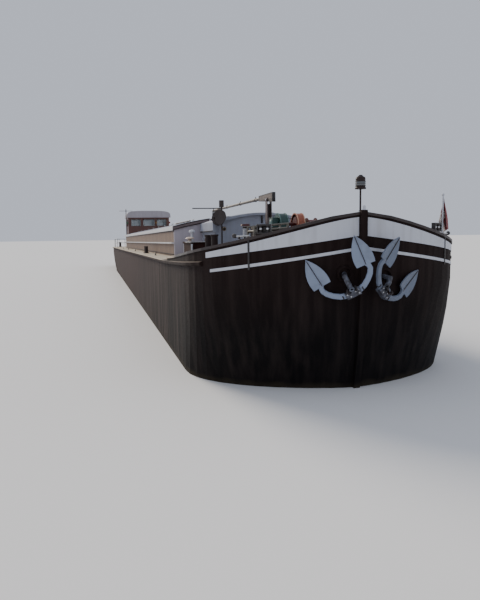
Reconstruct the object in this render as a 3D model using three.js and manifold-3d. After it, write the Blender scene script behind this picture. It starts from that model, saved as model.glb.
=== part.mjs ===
// River barge of the 38.5 by 5.05 metre lock size, as a converted motor barge
// Millimetres. +X towards the bow, +Y to port, +Z up, origin under the middle of the flat bottom.

import * as THREE from 'three';
import { mergeVertices } from 'three/addons/utils/BufferGeometryUtils.js';
import Module from 'manifold-3d';

const wasm = await Module();
wasm.setup();

// Driving dimensions

// Overall, from the anchors ahead of the stem to the rudder's trailing edge
const LENGTH = 38745;
const HALF_BEAM = 2470;
const DEPTH = 2600;
const SEAT = 0.3;

const STEM_BAR = { depth: 60, width: 108, foot: 60, head: 3450 };
const STEM = LENGTH / 2 - 410.7;

// Most places are given as a distance aft of the stem plating.
const aft = (distance) => STEM - distance;

const SHEER = { rise: 130, from: 4400, power: 1.5 };
const BULWARK = { low: 2603, high: 3385, fade: 2350, power: 1.5, thick: 40, end: 4400 };
const CAP = { height: 45, out: 20, inside: 75 };

const HOLD = { front: 6850, back: 27900, halfWidth: 1950, wall: 60, ledge: 2980, top: 3370, crown: 3660 };
const CABIN = { front: 5310, halfWidth: 1190, wall: 60, eaves: 3220, shoulder: 3450, crown: 3660 };
const WHEELHOUSE = { front: 33000, back: 35300, halfWidth: 1450, wall: 60, eaves: 4670, crown: 5150 };
const CASING = { front: 28700, back: 32300, halfWidth: 1500, wall: 50, top: 3060 };
const ENGINE = { front: 29500, back: 31700, halfWidth: 450, top: 1300 };
const POCKET = { floor: 150, wing: 2420, deckUnder: 2540 };

const STOCK = { x: aft(36983.5), radius: 70, head: 2900 };
const SHAFT = { z: 640, radius: 45, boss: 110, bossEnd: aft(35983.5) };
const PROP = { x: aft(36163.5), radius: 490, hub: 95, hubLength: 260, blades: 4 };

// Materials

function paint(colour, roughness = 0.6, metalness = 0) {
  return new THREE.MeshStandardMaterial({ color: colour, roughness, metalness });
}

const black = paint(0x15110f, 0.5);
const darkBrown = paint(0x33251f, 0.6);
const boardBrown = paint(0x6b4a33, 0.75);
const white = paint(0xd8dade, 0.5);
const grey = paint(0x8b8f92, 0.6);
const green = paint(0x2f6a5a, 0.5);
const orange = paint(0xb5502c, 0.5);
const redBrown = paint(0x6e3a2a, 0.6);
const steel = paint(0x77797c, 0.45, 0.8);
const bronze = paint(0x8a6a35, 0.4, 0.8);
const glass = paint(0x9fb4bd, 0.1);
const cloth = paint(0x8a3038, 0.9);

const SIDES = [{ name: 'starboard', sign: -1 }, { name: 'port', sign: 1 }];

const group = new THREE.Group();

function put(name, geometry, material) {
  const mesh = new THREE.Mesh(geometry, material);
  mesh.name = name;
  group.add(mesh);
}

// Solids

// A geometry without seams, merged while it still stands at the origin
function welded(geometry) {
  const bare = geometry.clone();
  bare.deleteAttribute('normal');
  bare.deleteAttribute('uv');
  return mergeVertices(bare, 1e-3);
}

function toSolid(geometry) {
  const merged = welded(geometry);
  return new wasm.Manifold(new wasm.Mesh({
    numProp: 3,
    vertProperties: new Float32Array(merged.attributes.position.array),
    triVerts: new Uint32Array(merged.index.array),
  }));
}

function toGeometry(solid) {
  const { vertProperties, triVerts } = solid.getMesh();
  const geometry = new THREE.BufferGeometry();
  geometry.setAttribute('position', new THREE.BufferAttribute(new Float32Array(vertProperties), 3));
  geometry.setIndex(new THREE.BufferAttribute(new Uint32Array(triVerts), 1));
  return geometry;
}

function join(...geometries) {
  return toGeometry(geometries.map(toSolid).reduce((sum, solid) => sum.add(solid)));
}

function cut(geometry, ...tools) {
  return toGeometry(tools.map(toSolid).reduce((rest, tool) => rest.subtract(tool), toSolid(geometry)));
}

function box(x0, x1, y0, y1, z0, z1) {
  const geometry = new THREE.BoxGeometry(Math.abs(x1 - x0), Math.abs(y1 - y0), Math.abs(z1 - z0));
  return geometry.translate((x0 + x1) / 2, (y0 + y1) / 2, (z0 + z1) / 2);
}

function rod(from, to, radius, sides = 16, radiusTo = radius) {
  const start = new THREE.Vector3(...from);
  const end = new THREE.Vector3(...to);
  const direction = end.clone().sub(start);
  const geometry = welded(new THREE.CylinderGeometry(radiusTo, radius, direction.length(), sides));
  geometry.applyQuaternion(new THREE.Quaternion().setFromUnitVectors(
    new THREE.Vector3(0, 1, 0), direction.clone().normalize()));
  const middle = start.add(end).multiplyScalar(0.5);
  return geometry.translate(middle.x, middle.y, middle.z);
}

// An outline in the plane across the boat, extruded from x0 to x1
function across(outline, x0, x1) {
  const shape = new THREE.Shape(outline.map(([y, z]) => new THREE.Vector2(y, z)));
  const geometry = new THREE.ExtrudeGeometry(shape, { depth: Math.abs(x1 - x0), bevelEnabled: false });
  geometry.applyMatrix4(new THREE.Matrix4().set(0, 0, 1, 0, 1, 0, 0, 0, 0, 1, 0, 0, 0, 0, 0, 1));
  return geometry.translate(Math.min(x0, x1), 0, 0);
}

// An outline in the plane along the boat, extruded from y0 to y1
function along(outline, y0, y1) {
  const shape = new THREE.Shape(outline.map(([x, z]) => new THREE.Vector2(x, z)));
  const geometry = new THREE.ExtrudeGeometry(shape, { depth: Math.abs(y1 - y0), bevelEnabled: false });
  geometry.rotateX(Math.PI / 2);
  return geometry.translate(0, Math.max(y0, y1), 0);
}

// A solid through equal loops of points, closed by flat ends
function loft(loops, pairedEnds = false) {
  const count = loops[0].length;
  const index = [];
  for (let s = 0; s + 1 < loops.length; s += 1) {
    for (let i = 0; i < count; i += 1) {
      const a = s * count + i;
      const b = s * count + ((i + 1) % count);
      index.push(a, b, b + count, a, b + count, a + count);
    }
  }
  const last = (loops.length - 1) * count;
  const faces = [];
  if (pairedEnds) {
    for (let i = 0; i < count / 2; i += 1) {
      const j = (count - i) % count;
      if (i > 0) faces.push([i, i + 1, j]);
      if (j - 1 > i + 1 || i === 0) faces.push(i === 0 ? [0, 1, count - 1] : [i + 1, j - 1, j]);
    }
  } else {
    for (let i = 1; i + 1 < count; i += 1) faces.push([0, i, i + 1]);
  }
  for (const [a, b, c] of faces) index.push(a, c, b, last + a, last + b, last + c);
  const geometry = new THREE.BufferGeometry();
  geometry.setAttribute('position', new THREE.Float32BufferAttribute(loops.flat(2), 3));
  geometry.setIndex(index);
  return outward(geometry);
}

function outward(geometry) {
  const position = geometry.attributes.position;
  const index = geometry.index.array;
  const [a, b, c] = [new THREE.Vector3(), new THREE.Vector3(), new THREE.Vector3()];
  let volume = 0;
  for (let i = 0; i < index.length; i += 3) {
    a.fromBufferAttribute(position, index[i]);
    b.fromBufferAttribute(position, index[i + 1]);
    c.fromBufferAttribute(position, index[i + 2]);
    volume += a.dot(b.cross(c));
  }
  if (volume < 0) {
    for (let i = 0; i < index.length; i += 3) [index[i], index[i + 1]] = [index[i + 1], index[i]];
  }
  return geometry;
}

// Lift-off hinges on an upright axis: each leaf knuckle stands on a frame knuckle
const KNUCKLE = { radius: 14, height: 55, gap: 0.4, clear: 19 };

function knuckles(x, y, heights) {
  const { radius, height, gap, clear } = KNUCKLE;
  const barrels = (low, high, size) => heights.map((z) => rod([x, y, z + low], [x, y, z + high], size, 16));
  return {
    frame: barrels(0, height, radius),
    leaf: barrels(height + gap, 2 * height, radius),
    leafSpace: barrels(height, 2 * height + 5, clear),
    frameSpace: barrels(-5, height + gap + 1, clear),
  };
}

// Hull form

// Levels from the bottom up. stem and stern are the ends' distances aft of the deck's stem;
// bow and run are the lengths of the rounded ends; fullness pairs are the exponents of each
// rounded end along and across the boat: two is an ellipse, more is bluffer.
const LEVELS = [
  { z: 0, beam: 2270, stem: 560, bow: 2640, bowFull: [2.0, 1.5], stern: 35500, run: 5200, runFull: [1.5, 1.5] },
  { z: 70, beam: 2400, stem: 480, bow: 2500, bowFull: [2.05, 1.45], stern: 35550, run: 5200, runFull: [1.6, 1.5] },
  { z: 220, beam: 2460, stem: 380, bow: 2250, bowFull: [2.1, 1.45], stern: 35600, run: 5200, runFull: [1.7, 1.5] },
  { z: 600, beam: HALF_BEAM, stem: 210, bow: 1940, bowFull: [2.1, 1.5], stern: 35700, run: 5200, runFull: [1.9, 1.5] },
  { z: 1150, beam: HALF_BEAM, stem: 100, bow: 1990, bowFull: [2.25, 1.8], stern: 35900, run: 4600, runFull: [2.1, 1.6] },
  { z: 1400, beam: HALF_BEAM, stem: 70, bow: 2000, bowFull: [2.3, 2.0], stern: 37300, run: 4600, runFull: [2.1, 1.8] },
  { z: 1700, beam: HALF_BEAM, stem: 40, bow: 2030, bowFull: [2.4, 2.2], stern: 37900, run: 4000, runFull: [2.2, 2.0] },
  { z: 2200, beam: HALF_BEAM, stem: 0, bow: 2080, bowFull: [2.48, 2.5], stern: 38050, run: 2900, runFull: [2.4, 2.3] },
  { z: DEPTH, beam: HALF_BEAM, stem: 0, bow: 2080, bowFull: [2.48, 2.5], stern: 38050, run: 2900, runFull: [2.4, 2.3] },
];
const BOW_STEPS = 12;
const STERN_STEPS = 10;
const MIDDLE = [3400, 4400, 17000, 29500];

function roundedEnd(step, steps, length, beam, [full, fullAcross]) {
  const angle = (step / steps) * (Math.PI / 2);
  const cosine = Math.max(0, Math.cos(angle));
  const back = length * (1 - (step === steps ? 0 : cosine) ** (2 / full));
  return [back, beam * Math.sin(angle) ** (2 / fullAcross)];
}

// Half outline of a level from stem to stern: x and half breadth
function halfOutline(level) {
  const points = [];
  for (let i = 0; i <= BOW_STEPS; i += 1) {
    const [back, half] = roundedEnd(i, BOW_STEPS, level.bow, level.beam, level.bowFull);
    points.push([aft(level.stem + back), half]);
  }
  for (const distance of MIDDLE) points.push([aft(distance), level.beam]);
  for (let i = STERN_STEPS; i >= 0; i -= 1) {
    const [back, half] = roundedEnd(i, STERN_STEPS, level.run, level.beam, level.runFull);
    points.push([aft(level.stern - back), half]);
  }
  return points;
}

const deckOutline = halfOutline(LEVELS[LEVELS.length - 1]);

function sheer(x) {
  const forward = Math.max(0, x - aft(SHEER.from)) / SHEER.from;
  return DEPTH + SHEER.rise * forward ** SHEER.power;
}

// Deck height, straight between the hull's own columns
function deckHeight(x) {
  for (let i = 1; i < deckOutline.length; i += 1) {
    const [x0] = deckOutline[i - 1];
    const [x1] = deckOutline[i];
    if (x >= x1) {
      const share = x0 === x1 ? 0 : Math.min(1, (x0 - x) / (x0 - x1));
      return sheer(x0) + share * (sheer(x1) - sheer(x0));
    }
  }
  return DEPTH;
}

function hullSkin() {
  const loops = LEVELS.map((level) => {
    const half = halfOutline(level);
    const starboard = half.map(([x, y]) => [x, -y, lifted(level.z, x)]);
    const port = half.slice(1, -1).reverse().map(([x, y]) => [x, y, lifted(level.z, x)]);
    return [...starboard, ...port];
  });
  return loft(loops, true);
}

function buildHull() {
  const holdFront = aft(HOLD.front + 150);
  const holdBack = aft(HOLD.back - 150);
  const engineFront = aft(CASING.front + 150);
  const engineBack = aft(CASING.back - 150);
  const sole = box(aft(35083), STOCK.x - 130, -70, 70, 0, 90);
  const boss = rod([aft(34583), 0, SHAFT.z], [SHAFT.bossEnd, 0, SHAFT.z], SHAFT.boss, 24);
  return cut(
    join(hullSkin(), sole, boss),
    box(holdBack, holdFront, -POCKET.wing, POCKET.wing, POCKET.floor, POCKET.deckUnder),
    box(holdBack, holdFront, 100 - HOLD.halfWidth, HOLD.halfWidth - 100, POCKET.floor, DEPTH + 100),
    box(engineBack, engineFront, -1900, 1900, POCKET.floor, POCKET.deckUnder),
    box(engineBack, engineFront, -1350, 1350, POCKET.floor, DEPTH + 100),
    rod([engineBack + 10, 0, SHAFT.z], [SHAFT.bossEnd - 100, 0, SHAFT.z], SHAFT.radius + 0.8, 32),
    rod([STOCK.x, 0, 900], [STOCK.x, 0, DEPTH + 100], STOCK.radius + 6, 24),
  );
}

put('hull', buildHull(), black);

// Stem, bulwark, cap and rubbing strakes

function lifted(z, x) {
  return z + (sheer(x) - DEPTH) * (z / DEPTH);
}

function stemLine() {
  return LEVELS.map((level) => [aft(level.stem), lifted(level.z, aft(level.stem))]);
}

function buildStemBar() {
  const line = [...stemLine().filter(([, z]) => z > STEM_BAR.foot), [STEM, STEM_BAR.head]];
  const half = STEM_BAR.width / 2;
  const loops = line.map(([x, z]) => [
    [x + SEAT, -half, z], [x + SEAT, half, z],
    [x + STEM_BAR.depth, half, z], [x + STEM_BAR.depth, -half, z],
  ]);
  return loft(loops);
}

put('stem_bar', buildStemBar(), darkBrown);

// Points round the deck edge with outward normals, starboard to port, back to a distance aft
function rimPoints(end) {
  const half = deckOutline.filter(([x]) => x >= aft(end) - 1);
  const loop = [...half.slice(1).reverse().map(([x, y]) => [x, -y]), ...half];
  return loop.map(([x, y], i) => {
    const before = loop[Math.max(0, i - 1)];
    const after = loop[Math.min(loop.length - 1, i + 1)];
    const normal = new THREE.Vector2(after[1] - before[1], before[0] - after[0]).normalize();
    return { x, y, nx: normal.x, ny: normal.y };
  });
}

function bulwarkTop(x, y) {
  const reach = Math.hypot(STEM - x, y);
  return BULWARK.low + (BULWARK.high - BULWARK.low) * Math.exp(-((reach / BULWARK.fade) ** BULWARK.power));
}

function buildBulwark(grow = 0) {
  const inset = BULWARK.thick + grow;
  return loft(rimPoints(BULWARK.end).map(({ x, y, nx, ny }) => {
    const [ox, oy] = [x + nx * grow, y + ny * grow];
    const [ix, iy] = [x - nx * inset, y - ny * inset];
    const top = bulwarkTop(x, y) + grow;
    return [
      [ox, oy, deckHeight(x) + SEAT], [ox, oy, top],
      [ix, iy, top], [ix, iy, deckHeight(ix) + SEAT],
    ];
  }));
}

function buildCap() {
  const cap = loft(rimPoints(BULWARK.end).map(({ x, y, nx, ny }) => {
    const base = bulwarkTop(x, y) + SEAT;
    const [ox, oy] = [x + nx * CAP.out, y + ny * CAP.out];
    const [ix, iy] = [x - nx * CAP.inside, y - ny * CAP.inside];
    return [[ox, oy, base], [ox, oy, base + CAP.height], [ix, iy, base + CAP.height], [ix, iy, base]];
  }));
  const notch = STEM_BAR.width / 2 + SEAT;
  return cut(
    cap, box(STEM, STEM + 100, -notch, notch, DEPTH, STEM_BAR.head + 100), buildBulwark(SEAT));
}

put('bow_bulwark', buildBulwark(), black);
put('bulwark_cap', buildCap(), darkBrown);

const STRAKE = { low: 2515, high: 2597, out: 55, start: 1100, end: 37950 };

function edgePath(points) {
  return points.map(([x, y], i) => {
    const before = points[Math.max(0, i - 1)];
    const after = points[Math.min(points.length - 1, i + 1)];
    const normal = new THREE.Vector2(after[1] - before[1], before[0] - after[0]).normalize();
    return { x, y, nx: normal.x, ny: normal.y };
  });
}

function sideStrake(side) {
  const points = deckOutline.filter(([x]) => x <= aft(STRAKE.start) + 1 && x >= aft(STRAKE.end));
  return loft(edgePath(points).map(({ x, y, nx, ny }) => {
    const at = (out, z) => [x + nx * out, side * (y + ny * out), lifted(z, x)];
    return [at(SEAT, STRAKE.low), at(STRAKE.out, STRAKE.low + 20), at(STRAKE.out, STRAKE.high - 15), at(SEAT, STRAKE.high)];
  }));
}



for (const side of SIDES) put(`rubbing_strake_${side.name}`, sideStrake(side.sign), darkBrown);

// Anchors, stowed against the bow in their hawse pipes

const ANCHOR = {
  ahead: 190, y: 228, z: 2157, turn: 22.8, tilt: 7.9, lean: { starboard: 27.3, port: 42.1 },
  barWidth: 88, barDepth: 60, palmBase: [363, 349], palmLean: 4.6, palmLength: 477, palmHalf: 145,
  palmThick: 22, palmFold: 22, shank: 40, hawseRise: 330,
};
// Centre line of an arm from the crown out to its palm: across, up
const ARM_LINE = [[0, 30], [100, 40], [200, 75], [290, 135], [360, 205], [396, 270], [396, 325], [366, 385]];
const HAWSE = { inner: 88, outer: 128, length: 40 };

// Where the bow plating stands at a half breadth and height
function bowFace(y, z) {
  const at = (level) => {
    const half = halfOutline(level);
    const k = half.findIndex(([, breadth], i) => i > 0 && breadth >= y);
    const [[x0, y0], [x1, y1]] = [half[k - 1], half[k]];
    return x0 + ((y - y0) / (y1 - y0)) * (x1 - x0);
  };
  const top = Math.max(1, LEVELS.findIndex((level) => level.z >= Math.min(z, DEPTH)));
  const [low, high] = [LEVELS[top - 1], LEVELS[top]];
  const share = Math.min(1, (z - low.z) / (high.z - low.z));
  return at(low) + share * (at(high) - at(low));
}

// The anchor's own frame: x away from the plating, y across the arms, z from crown to shank
function anchorPlace({ name, sign }) {
  const [lean, tilt, turn] = [-sign * ANCHOR.lean[name], ANCHOR.tilt, sign * ANCHOR.turn].map(THREE.MathUtils.degToRad);
  return new THREE.Matrix4().makeRotationFromEuler(new THREE.Euler(lean, tilt, turn, 'ZYX'))
    .setPosition(STEM + ANCHOR.ahead, sign * ANCHOR.y, ANCHOR.z);
}

// Where the shank, turned straight back, meets the plating
function hawseSpot(side) {
  const place = anchorPlace(side);
  const spot = new THREE.Vector3(0, 0, ANCHOR.hawseRise).applyMatrix4(place);
  const back = new THREE.Vector3(-1, 0, 0).transformDirection(place);
  const length = (spot.x - bowFace(Math.abs(spot.y), spot.z)) / -back.x;
  return { spot: spot.addScaledVector(back, length), length };
}

function anchorArms() {
  const path = [...ARM_LINE.slice(1).reverse().map(([y, z]) => [-y, z]), ...ARM_LINE];
  return loft(path.map(([y, z], i) => {
    const [before, after] = [path[Math.max(0, i - 1)], path[Math.min(path.length - 1, i + 1)]];
    const along = new THREE.Vector2(after[0] - before[0], after[1] - before[1]).normalize();
    const slim = 1 - 0.15 * Math.abs(i / (path.length - 1) - 0.5) * 2;
    const [w, d] = [ANCHOR.barWidth / 2 * slim, ANCHOR.barDepth / 2 * slim];
    const at = (inward, depth) => [depth, y - along.y * inward, z + along.x * inward];
    return [at(-w, -d * 0.6), at(-w * 0.7, -d), at(w * 0.7, -d), at(w, -d * 0.6),
      at(w, d * 0.6), at(w * 0.7, d), at(-w * 0.7, d), at(-w, d * 0.6)];
  }));
}

// One palm: two flat halves that meet in a shallow valley
function anchorPalm(hand) {
  const { palmLength: length, palmHalf, palmThick: thick, palmFold } = ANCHOR;
  const steps = [0, 0.12, 0.25, 0.4, 0.55, 0.7, 0.82, 0.92, 0.98, 1];
  const halves = [-1, 1].map((way) => loft(steps.map((t) => {
    const half = Math.max(3, palmHalf * ((1 - t) ** 2 + 2.7 * t * (1 - t)));
    const rise = length * t;
    const fold = palmFold * (half / palmHalf);
    return [[-thick / 2, -way * 1, rise], [thick / 2, -way * 1, rise],
      [thick / 2 + fold, way * half, rise], [fold - thick / 2, way * half, rise]];
  })));
  const palm = join(...halves);
  palm.rotateX(-hand * THREE.MathUtils.degToRad(ANCHOR.palmLean));
  return palm.translate(6, hand * ANCHOR.palmBase[0], ANCHOR.palmBase[1]);
}

function buildAnchor(side, plating) {
  const { hawseRise: rise, shank } = ANCHOR;
  const crown = new THREE.BoxGeometry(96, 230, 105).translate(0, 0, 36);
  const pin = rod([0, -140, 48], [0, 140, 48], 34, 14);
  const stem = pipe([[0, 0, 20], [0, 0, rise - 110], [-35, 0, rise - 20], [-hawseSpot(side).length - 70, 0, rise]], shank, 12);
  const anchor = join(anchorArms(), anchorPalm(-1), anchorPalm(1), crown, pin, stem);
  return cut(anchor.applyMatrix4(anchorPlace(side)), plating);
}

function buildHawse(side, plating) {
  const ring = [
    [HAWSE.inner, -60], [HAWSE.outer, -60], [HAWSE.outer, HAWSE.length * 0.5], [HAWSE.outer - 15, HAWSE.length],
    [HAWSE.inner + 10, HAWSE.length], [HAWSE.inner, HAWSE.length * 0.6], [HAWSE.inner, -60],
  ].map(([r, h]) => new THREE.Vector2(r, h));
  const lip = welded(new THREE.LatheGeometry(ring, 20)).rotateZ(-Math.PI / 2);
  const { spot } = hawseSpot(side);
  return cut(lip.translate(spot.x, spot.y, spot.z), plating);
}

for (const side of SIDES) {
  const plating = hullSkin().translate(SEAT, 0, 0);
  put(`anchor_${side.name}`, buildAnchor(side, plating), white);
  put(`hawse_pipe_${side.name}`, buildHawse(side, plating), darkBrown);
}

// Windlass

const WINDLASS = {
  x: aft(2900), axis: 3320, bed: 2700, shaft: 35, wheel: 150, hoodRadius: 215, hoodWall: 15, play: 6,
  case: [-550, -430], caseHalf: 115, cheeks: [[-238, -208], [138, 168]], drum: [205, 415],
};
const HOODS = [
  { name: 'starboard', y: [-422, -248], open: false, material: green },
  { name: 'port', y: [-55, 105], open: true, material: orange },
];
const CHAIN_WHEELS = [[-395, -275], [-40, 80]];

function buildWindlassFrame() {
  const { x, axis, bed, shaft } = WINDLASS;
  const foot = (at) => deckHeight(at) + SEAT;
  const plate = loft([-660, 480].map((y) => [
    [x - 340, y, foot(x - 340)], [x + 340, y, foot(x + 340)], [x + 340, y, bed], [x - 340, y, bed]]));
  const cheeks = WINDLASS.cheeks.map(([y0, y1]) => along(
    [[x - 260, bed - 10], [x + 260, bed - 10], [x + 90, axis + 90], [x - 90, axis + 90]], y0, y1));
  const gearCase = box(x - WINDLASS.caseHalf, x + WINDLASS.caseHalf, ...WINDLASS.case, bed - 10, axis + 120);
  const bore = rod([x, WINDLASS.case[1] - 60, axis], [x, 600, axis], shaft + 0.6, 32);
  return cut(join(plate, ...cheeks, gearCase), bore);
}

function buildWindlassShaft() {
  const { x, axis, shaft, wheel } = WINDLASS;
  const turned = (y0, y1, radius, sides = 20) => rod([x, y0, axis], [x, y1, axis], radius, sides);
  const [d0, d1] = WINDLASS.drum;
  return join(
    turned(WINDLASS.case[1] - 50, d1, shaft, 24),
    ...CHAIN_WHEELS.flatMap(([y0, y1]) => [turned(y0, y1, wheel - 30), turned(y0, y0 + 25, wheel), turned(y1 - 25, y1, wheel)]),
    turned(d0, d1, 85), turned(d0, d0 + 20, 125), turned(d1 - 20, d1, 125),
  );
}

function buildHood({ y: [y0, y1], open }) {
  const { x, axis, bed, hoodRadius, hoodWall, shaft, play } = WINDLASS;
  const arch = (radius, low) => {
    const points = [[x + radius, low]];
    for (let i = 0; i <= 12; i += 1) {
      const angle = (i / 12) * Math.PI;
      points.push([x + radius * Math.cos(angle), axis + radius * Math.sin(angle)]);
    }
    return [...points, [x - radius, low]];
  };
  const outer = along(arch(hoodRadius, bed + SEAT), y0, y1);
  const inner = along(arch(hoodRadius - hoodWall, bed - 10), open ? y0 - 10 : y0 + hoodWall, y1 - hoodWall);
  return cut(outer, inner, rod([x, y0 - 10, axis], [x, y1 + 10, axis], shaft + play, 24));
}

put('windlass_frame', buildWindlassFrame(), green);
put('windlass_shaft', buildWindlassShaft(), steel);
for (const hood of HOODS) put(`windlass_hood_${hood.name}`, buildHood(hood), hood.material);

// Bitts: pairs of posts on a base plate
// name, distance aft, distance off the centre line, post radius, height, spacing
const BITTS = [
  { name: 'fore', back: 2200, off: 1930, radius: 60, height: 415, spacing: 560 },
  { name: 'side', back: 11800, off: 2230, radius: 50, height: 190, spacing: 300 },
  { name: 'aft', back: 36400, off: 1900, radius: 65, height: 300, spacing: 380 },
];

function buildBitts({ back, off, radius, height, spacing }, side) {
  const x = aft(back);
  const [x0, x1] = [x - spacing / 2 - radius * 1.8, x + spacing / 2 + radius * 1.8];
  const [y0, y1] = [side * off - radius * 1.6, side * off + radius * 1.6];
  const foot = (at) => deckHeight(at) + SEAT;
  const top = foot(x1) + 25;
  const plate = loft([y0, y1].map((y) => [[x0, y, foot(x0)], [x1, y, foot(x1)], [x1, y, top], [x0, y, top]]));
  const posts = [-1, 1].flatMap((end) => {
    const px = x + (end * spacing) / 2;
    return [
      rod([px, side * off, top - 10], [px, side * off, top + height], radius, 16),
      rod([px, side * off, top + height - 10], [px, side * off, top + height + 22], radius * 1.22, 16),
    ];
  });
  return join(plate, ...posts);
}

for (const bitts of BITTS) {
  for (const side of SIDES) put(`bitts_${bitts.name}_${side.name}`, buildBitts(bitts, side.sign), darkBrown);
}

// Foredeck fittings

// A round bar through points, mitred at each bend
function pipe(points, radius, sides = 8) {
  const path = points.map((point) => new THREE.Vector3(...point));
  const loops = path.map((point, i) => {
    const before = i > 0 ? point.clone().sub(path[i - 1]).normalize() : path[1].clone().sub(point).normalize();
    const after = i + 1 < path.length ? path[i + 1].clone().sub(point).normalize() : before;
    const ahead = before.clone().add(after).normalize();
    const stretch = 1 / Math.max(0.5, ahead.dot(before));
    const bend = after.clone().sub(before);
    const bent = bend.lengthSq() > 1e-9;
    const side = bent ? bend.clone().addScaledVector(ahead, -bend.dot(ahead)).normalize() : pipeSide(ahead);
    return { point, ahead, side, stretch, bent };
  });
  const first = loops.find((loop) => loop.bent) ?? loops[0];
  return loft(loops.map(({ point, ahead, side, stretch, bent }) => {
    const across = bent ? side : first.side.clone().addScaledVector(ahead, -first.side.dot(ahead)).normalize();
    const third = ahead.clone().cross(across);
    const sign = third.dot(first.ahead.clone().cross(first.side)) < 0 ? -1 : 1;
    const loop = [];
    for (let k = 0; k < sides; k += 1) {
      const angle = (2 * Math.PI * (k + 0.5)) / sides;
      const offset = across.clone().multiplyScalar(Math.cos(angle) * radius * (bent ? stretch : 1) * sign)
        .addScaledVector(third, Math.sin(angle) * radius * sign);
      loop.push(point.clone().add(offset).toArray());
    }
    return loop;
  }));
}

function pipeSide(ahead) {
  const helper = Math.abs(ahead.z) > 0.9 ? new THREE.Vector3(1, 0, 0) : new THREE.Vector3(0, 0, 1);
  return helper.cross(ahead).normalize();
}

const RACK = { back: [1700, 2130], off: [620, 1250], top: [3300, 3250], radius: 20, drop: 75 };
const CHEST = { back: [1745, 2085], off: [660, 1210], top: 3215 };

// A pipe rack round a low gear chest
function buildRack(side) {
  const [inner, outer] = RACK.off.map((y) => y * side);
  const [high, low] = RACK.top;
  const bars = RACK.back.flatMap((back) => {
    const x = aft(back);
    const foot = deckHeight(x + RACK.radius * 1.2) + SEAT;
    return [
      pipe([[x, inner, foot], [x, inner, high], [x, outer, low], [x, outer, foot]], RACK.radius),
      rod([x, inner, high - RACK.drop], [x, outer, low - RACK.drop], RACK.radius * 0.8, 8),
    ];
  });
  const ties = [[inner, high], [outer, low]].map(([y, z]) => rod(
    [aft(RACK.back[0]), y, z - RACK.drop], [aft(RACK.back[1]), y, z - RACK.drop], RACK.radius * 0.8, 8));
  const [front, back] = CHEST.back.map(aft);
  const foot = (x) => deckHeight(x) + SEAT;
  const chest = loft(CHEST.off.map((y) => [
    [back, side * y, foot(back)], [front, side * y, foot(front)], [front, side * y, CHEST.top], [back, side * y, CHEST.top]]));
  const shelf = rod([aft(RACK.back[0]), side * 885, CHEST.top - 60], [aft(RACK.back[1]), side * 885, CHEST.top - 60], 14, 8);
  const stays = RACK.back.map((at) => rod([aft(at), inner, CHEST.top - 60], [aft(at), outer, CHEST.top - 60], 14, 8));
  return join(...bars, ...ties, chest, shelf, ...stays);
}

for (const side of SIDES) put(`foredeck_rack_${side.name}`, buildRack(side.sign), grey);

const VENT = { x: aft(2330), y: -1240, radius: 50, top: 3285, head: 92 };

function buildVent() {
  const { x, y, radius, top, head } = VENT;
  return join(
    rod([x, y, deckHeight(x + radius * 1.2) + SEAT], [x, y, top], radius, 14),
    rod([x, y, top - 10], [x, y, top + 30], head, 16, head * 0.85),
  );
}

put('vent_post', buildVent(), white);

const STAFF = { x: STEM - 30, y: -30, radius: 15, top: 3770 };
const LANTERN = { radius: 76, base: 86, height: 192 };

function buildStaff() {
  const foot = bulwarkTop(STEM, 0) + CAP.height + 2 * SEAT;
  return join(
    rod([STAFF.x, STAFF.y, foot + 5], [STAFF.x, STAFF.y, STAFF.top], STAFF.radius, 12),
    rod([STAFF.x, STAFF.y, foot], [STAFF.x, STAFF.y, foot + 12], 28, 12),
  );
}

function buildLantern() {
  const { radius, base, height } = LANTERN;
  const profile = [
    [0, 0], [base, 0], [base, 18], [radius, 30], [radius, height - 34],
    [radius * 0.9, height - 14], [radius * 0.55, height], [0, height],
  ].map(([r, h]) => new THREE.Vector2(r, h));
  return welded(new THREE.LatheGeometry(profile, 20)).rotateX(Math.PI / 2).translate(STAFF.x, STAFF.y, STAFF.top + SEAT);
}

put('bow_staff', buildStaff(), darkBrown);
put('bow_lantern', buildLantern(), darkBrown);

const FLAG = { back: 1400, off: 2365, top: 3790, radius: 13, drop: 620, width: 150, thick: 56 };

function buildFlagstaff() {
  const foot = bulwarkTop(aft(FLAG.back), FLAG.off) + CAP.height - 15;
  const x = aft(FLAG.back);
  const staff = join(
    rod([x, FLAG.off, foot], [x, FLAG.off, FLAG.top], FLAG.radius, 10),
    welded(new THREE.SphereGeometry(26, 10, 8)).translate(x, FLAG.off, FLAG.top + 15),
  );
  return cut(staff, buildCap().translate(0, 0, SEAT));
}

put('flagstaff', buildFlagstaff(), white);
put('flag', cut(
  box(aft(FLAG.back) - FLAG.thick / 2, aft(FLAG.back) + FLAG.thick / 2,
    FLAG.off + 4, FLAG.off + FLAG.width, FLAG.top - FLAG.drop, FLAG.top - 20),
  rod([aft(FLAG.back), FLAG.off, DEPTH], [aft(FLAG.back), FLAG.off, FLAG.top + 90], FLAG.radius + SEAT, 10),
), cloth);

// Lowering mast with its counterweight, on a slotted post

const MAST = {
  x: aft(4750), pivot: 3935, low: 3870, high: 4090, half: 40, weightEnd: 370, heelEnd: 700, heelLow: 3945,
  length: 6300, line: 4008, rootRadius: 40, tipRadius: 32, pin: 20,
};
const POST = { front: 45, back: 100, web: 15, gap: 45, half: 58, slot: 3520, webTop: 3850, top: 3985 };

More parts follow.
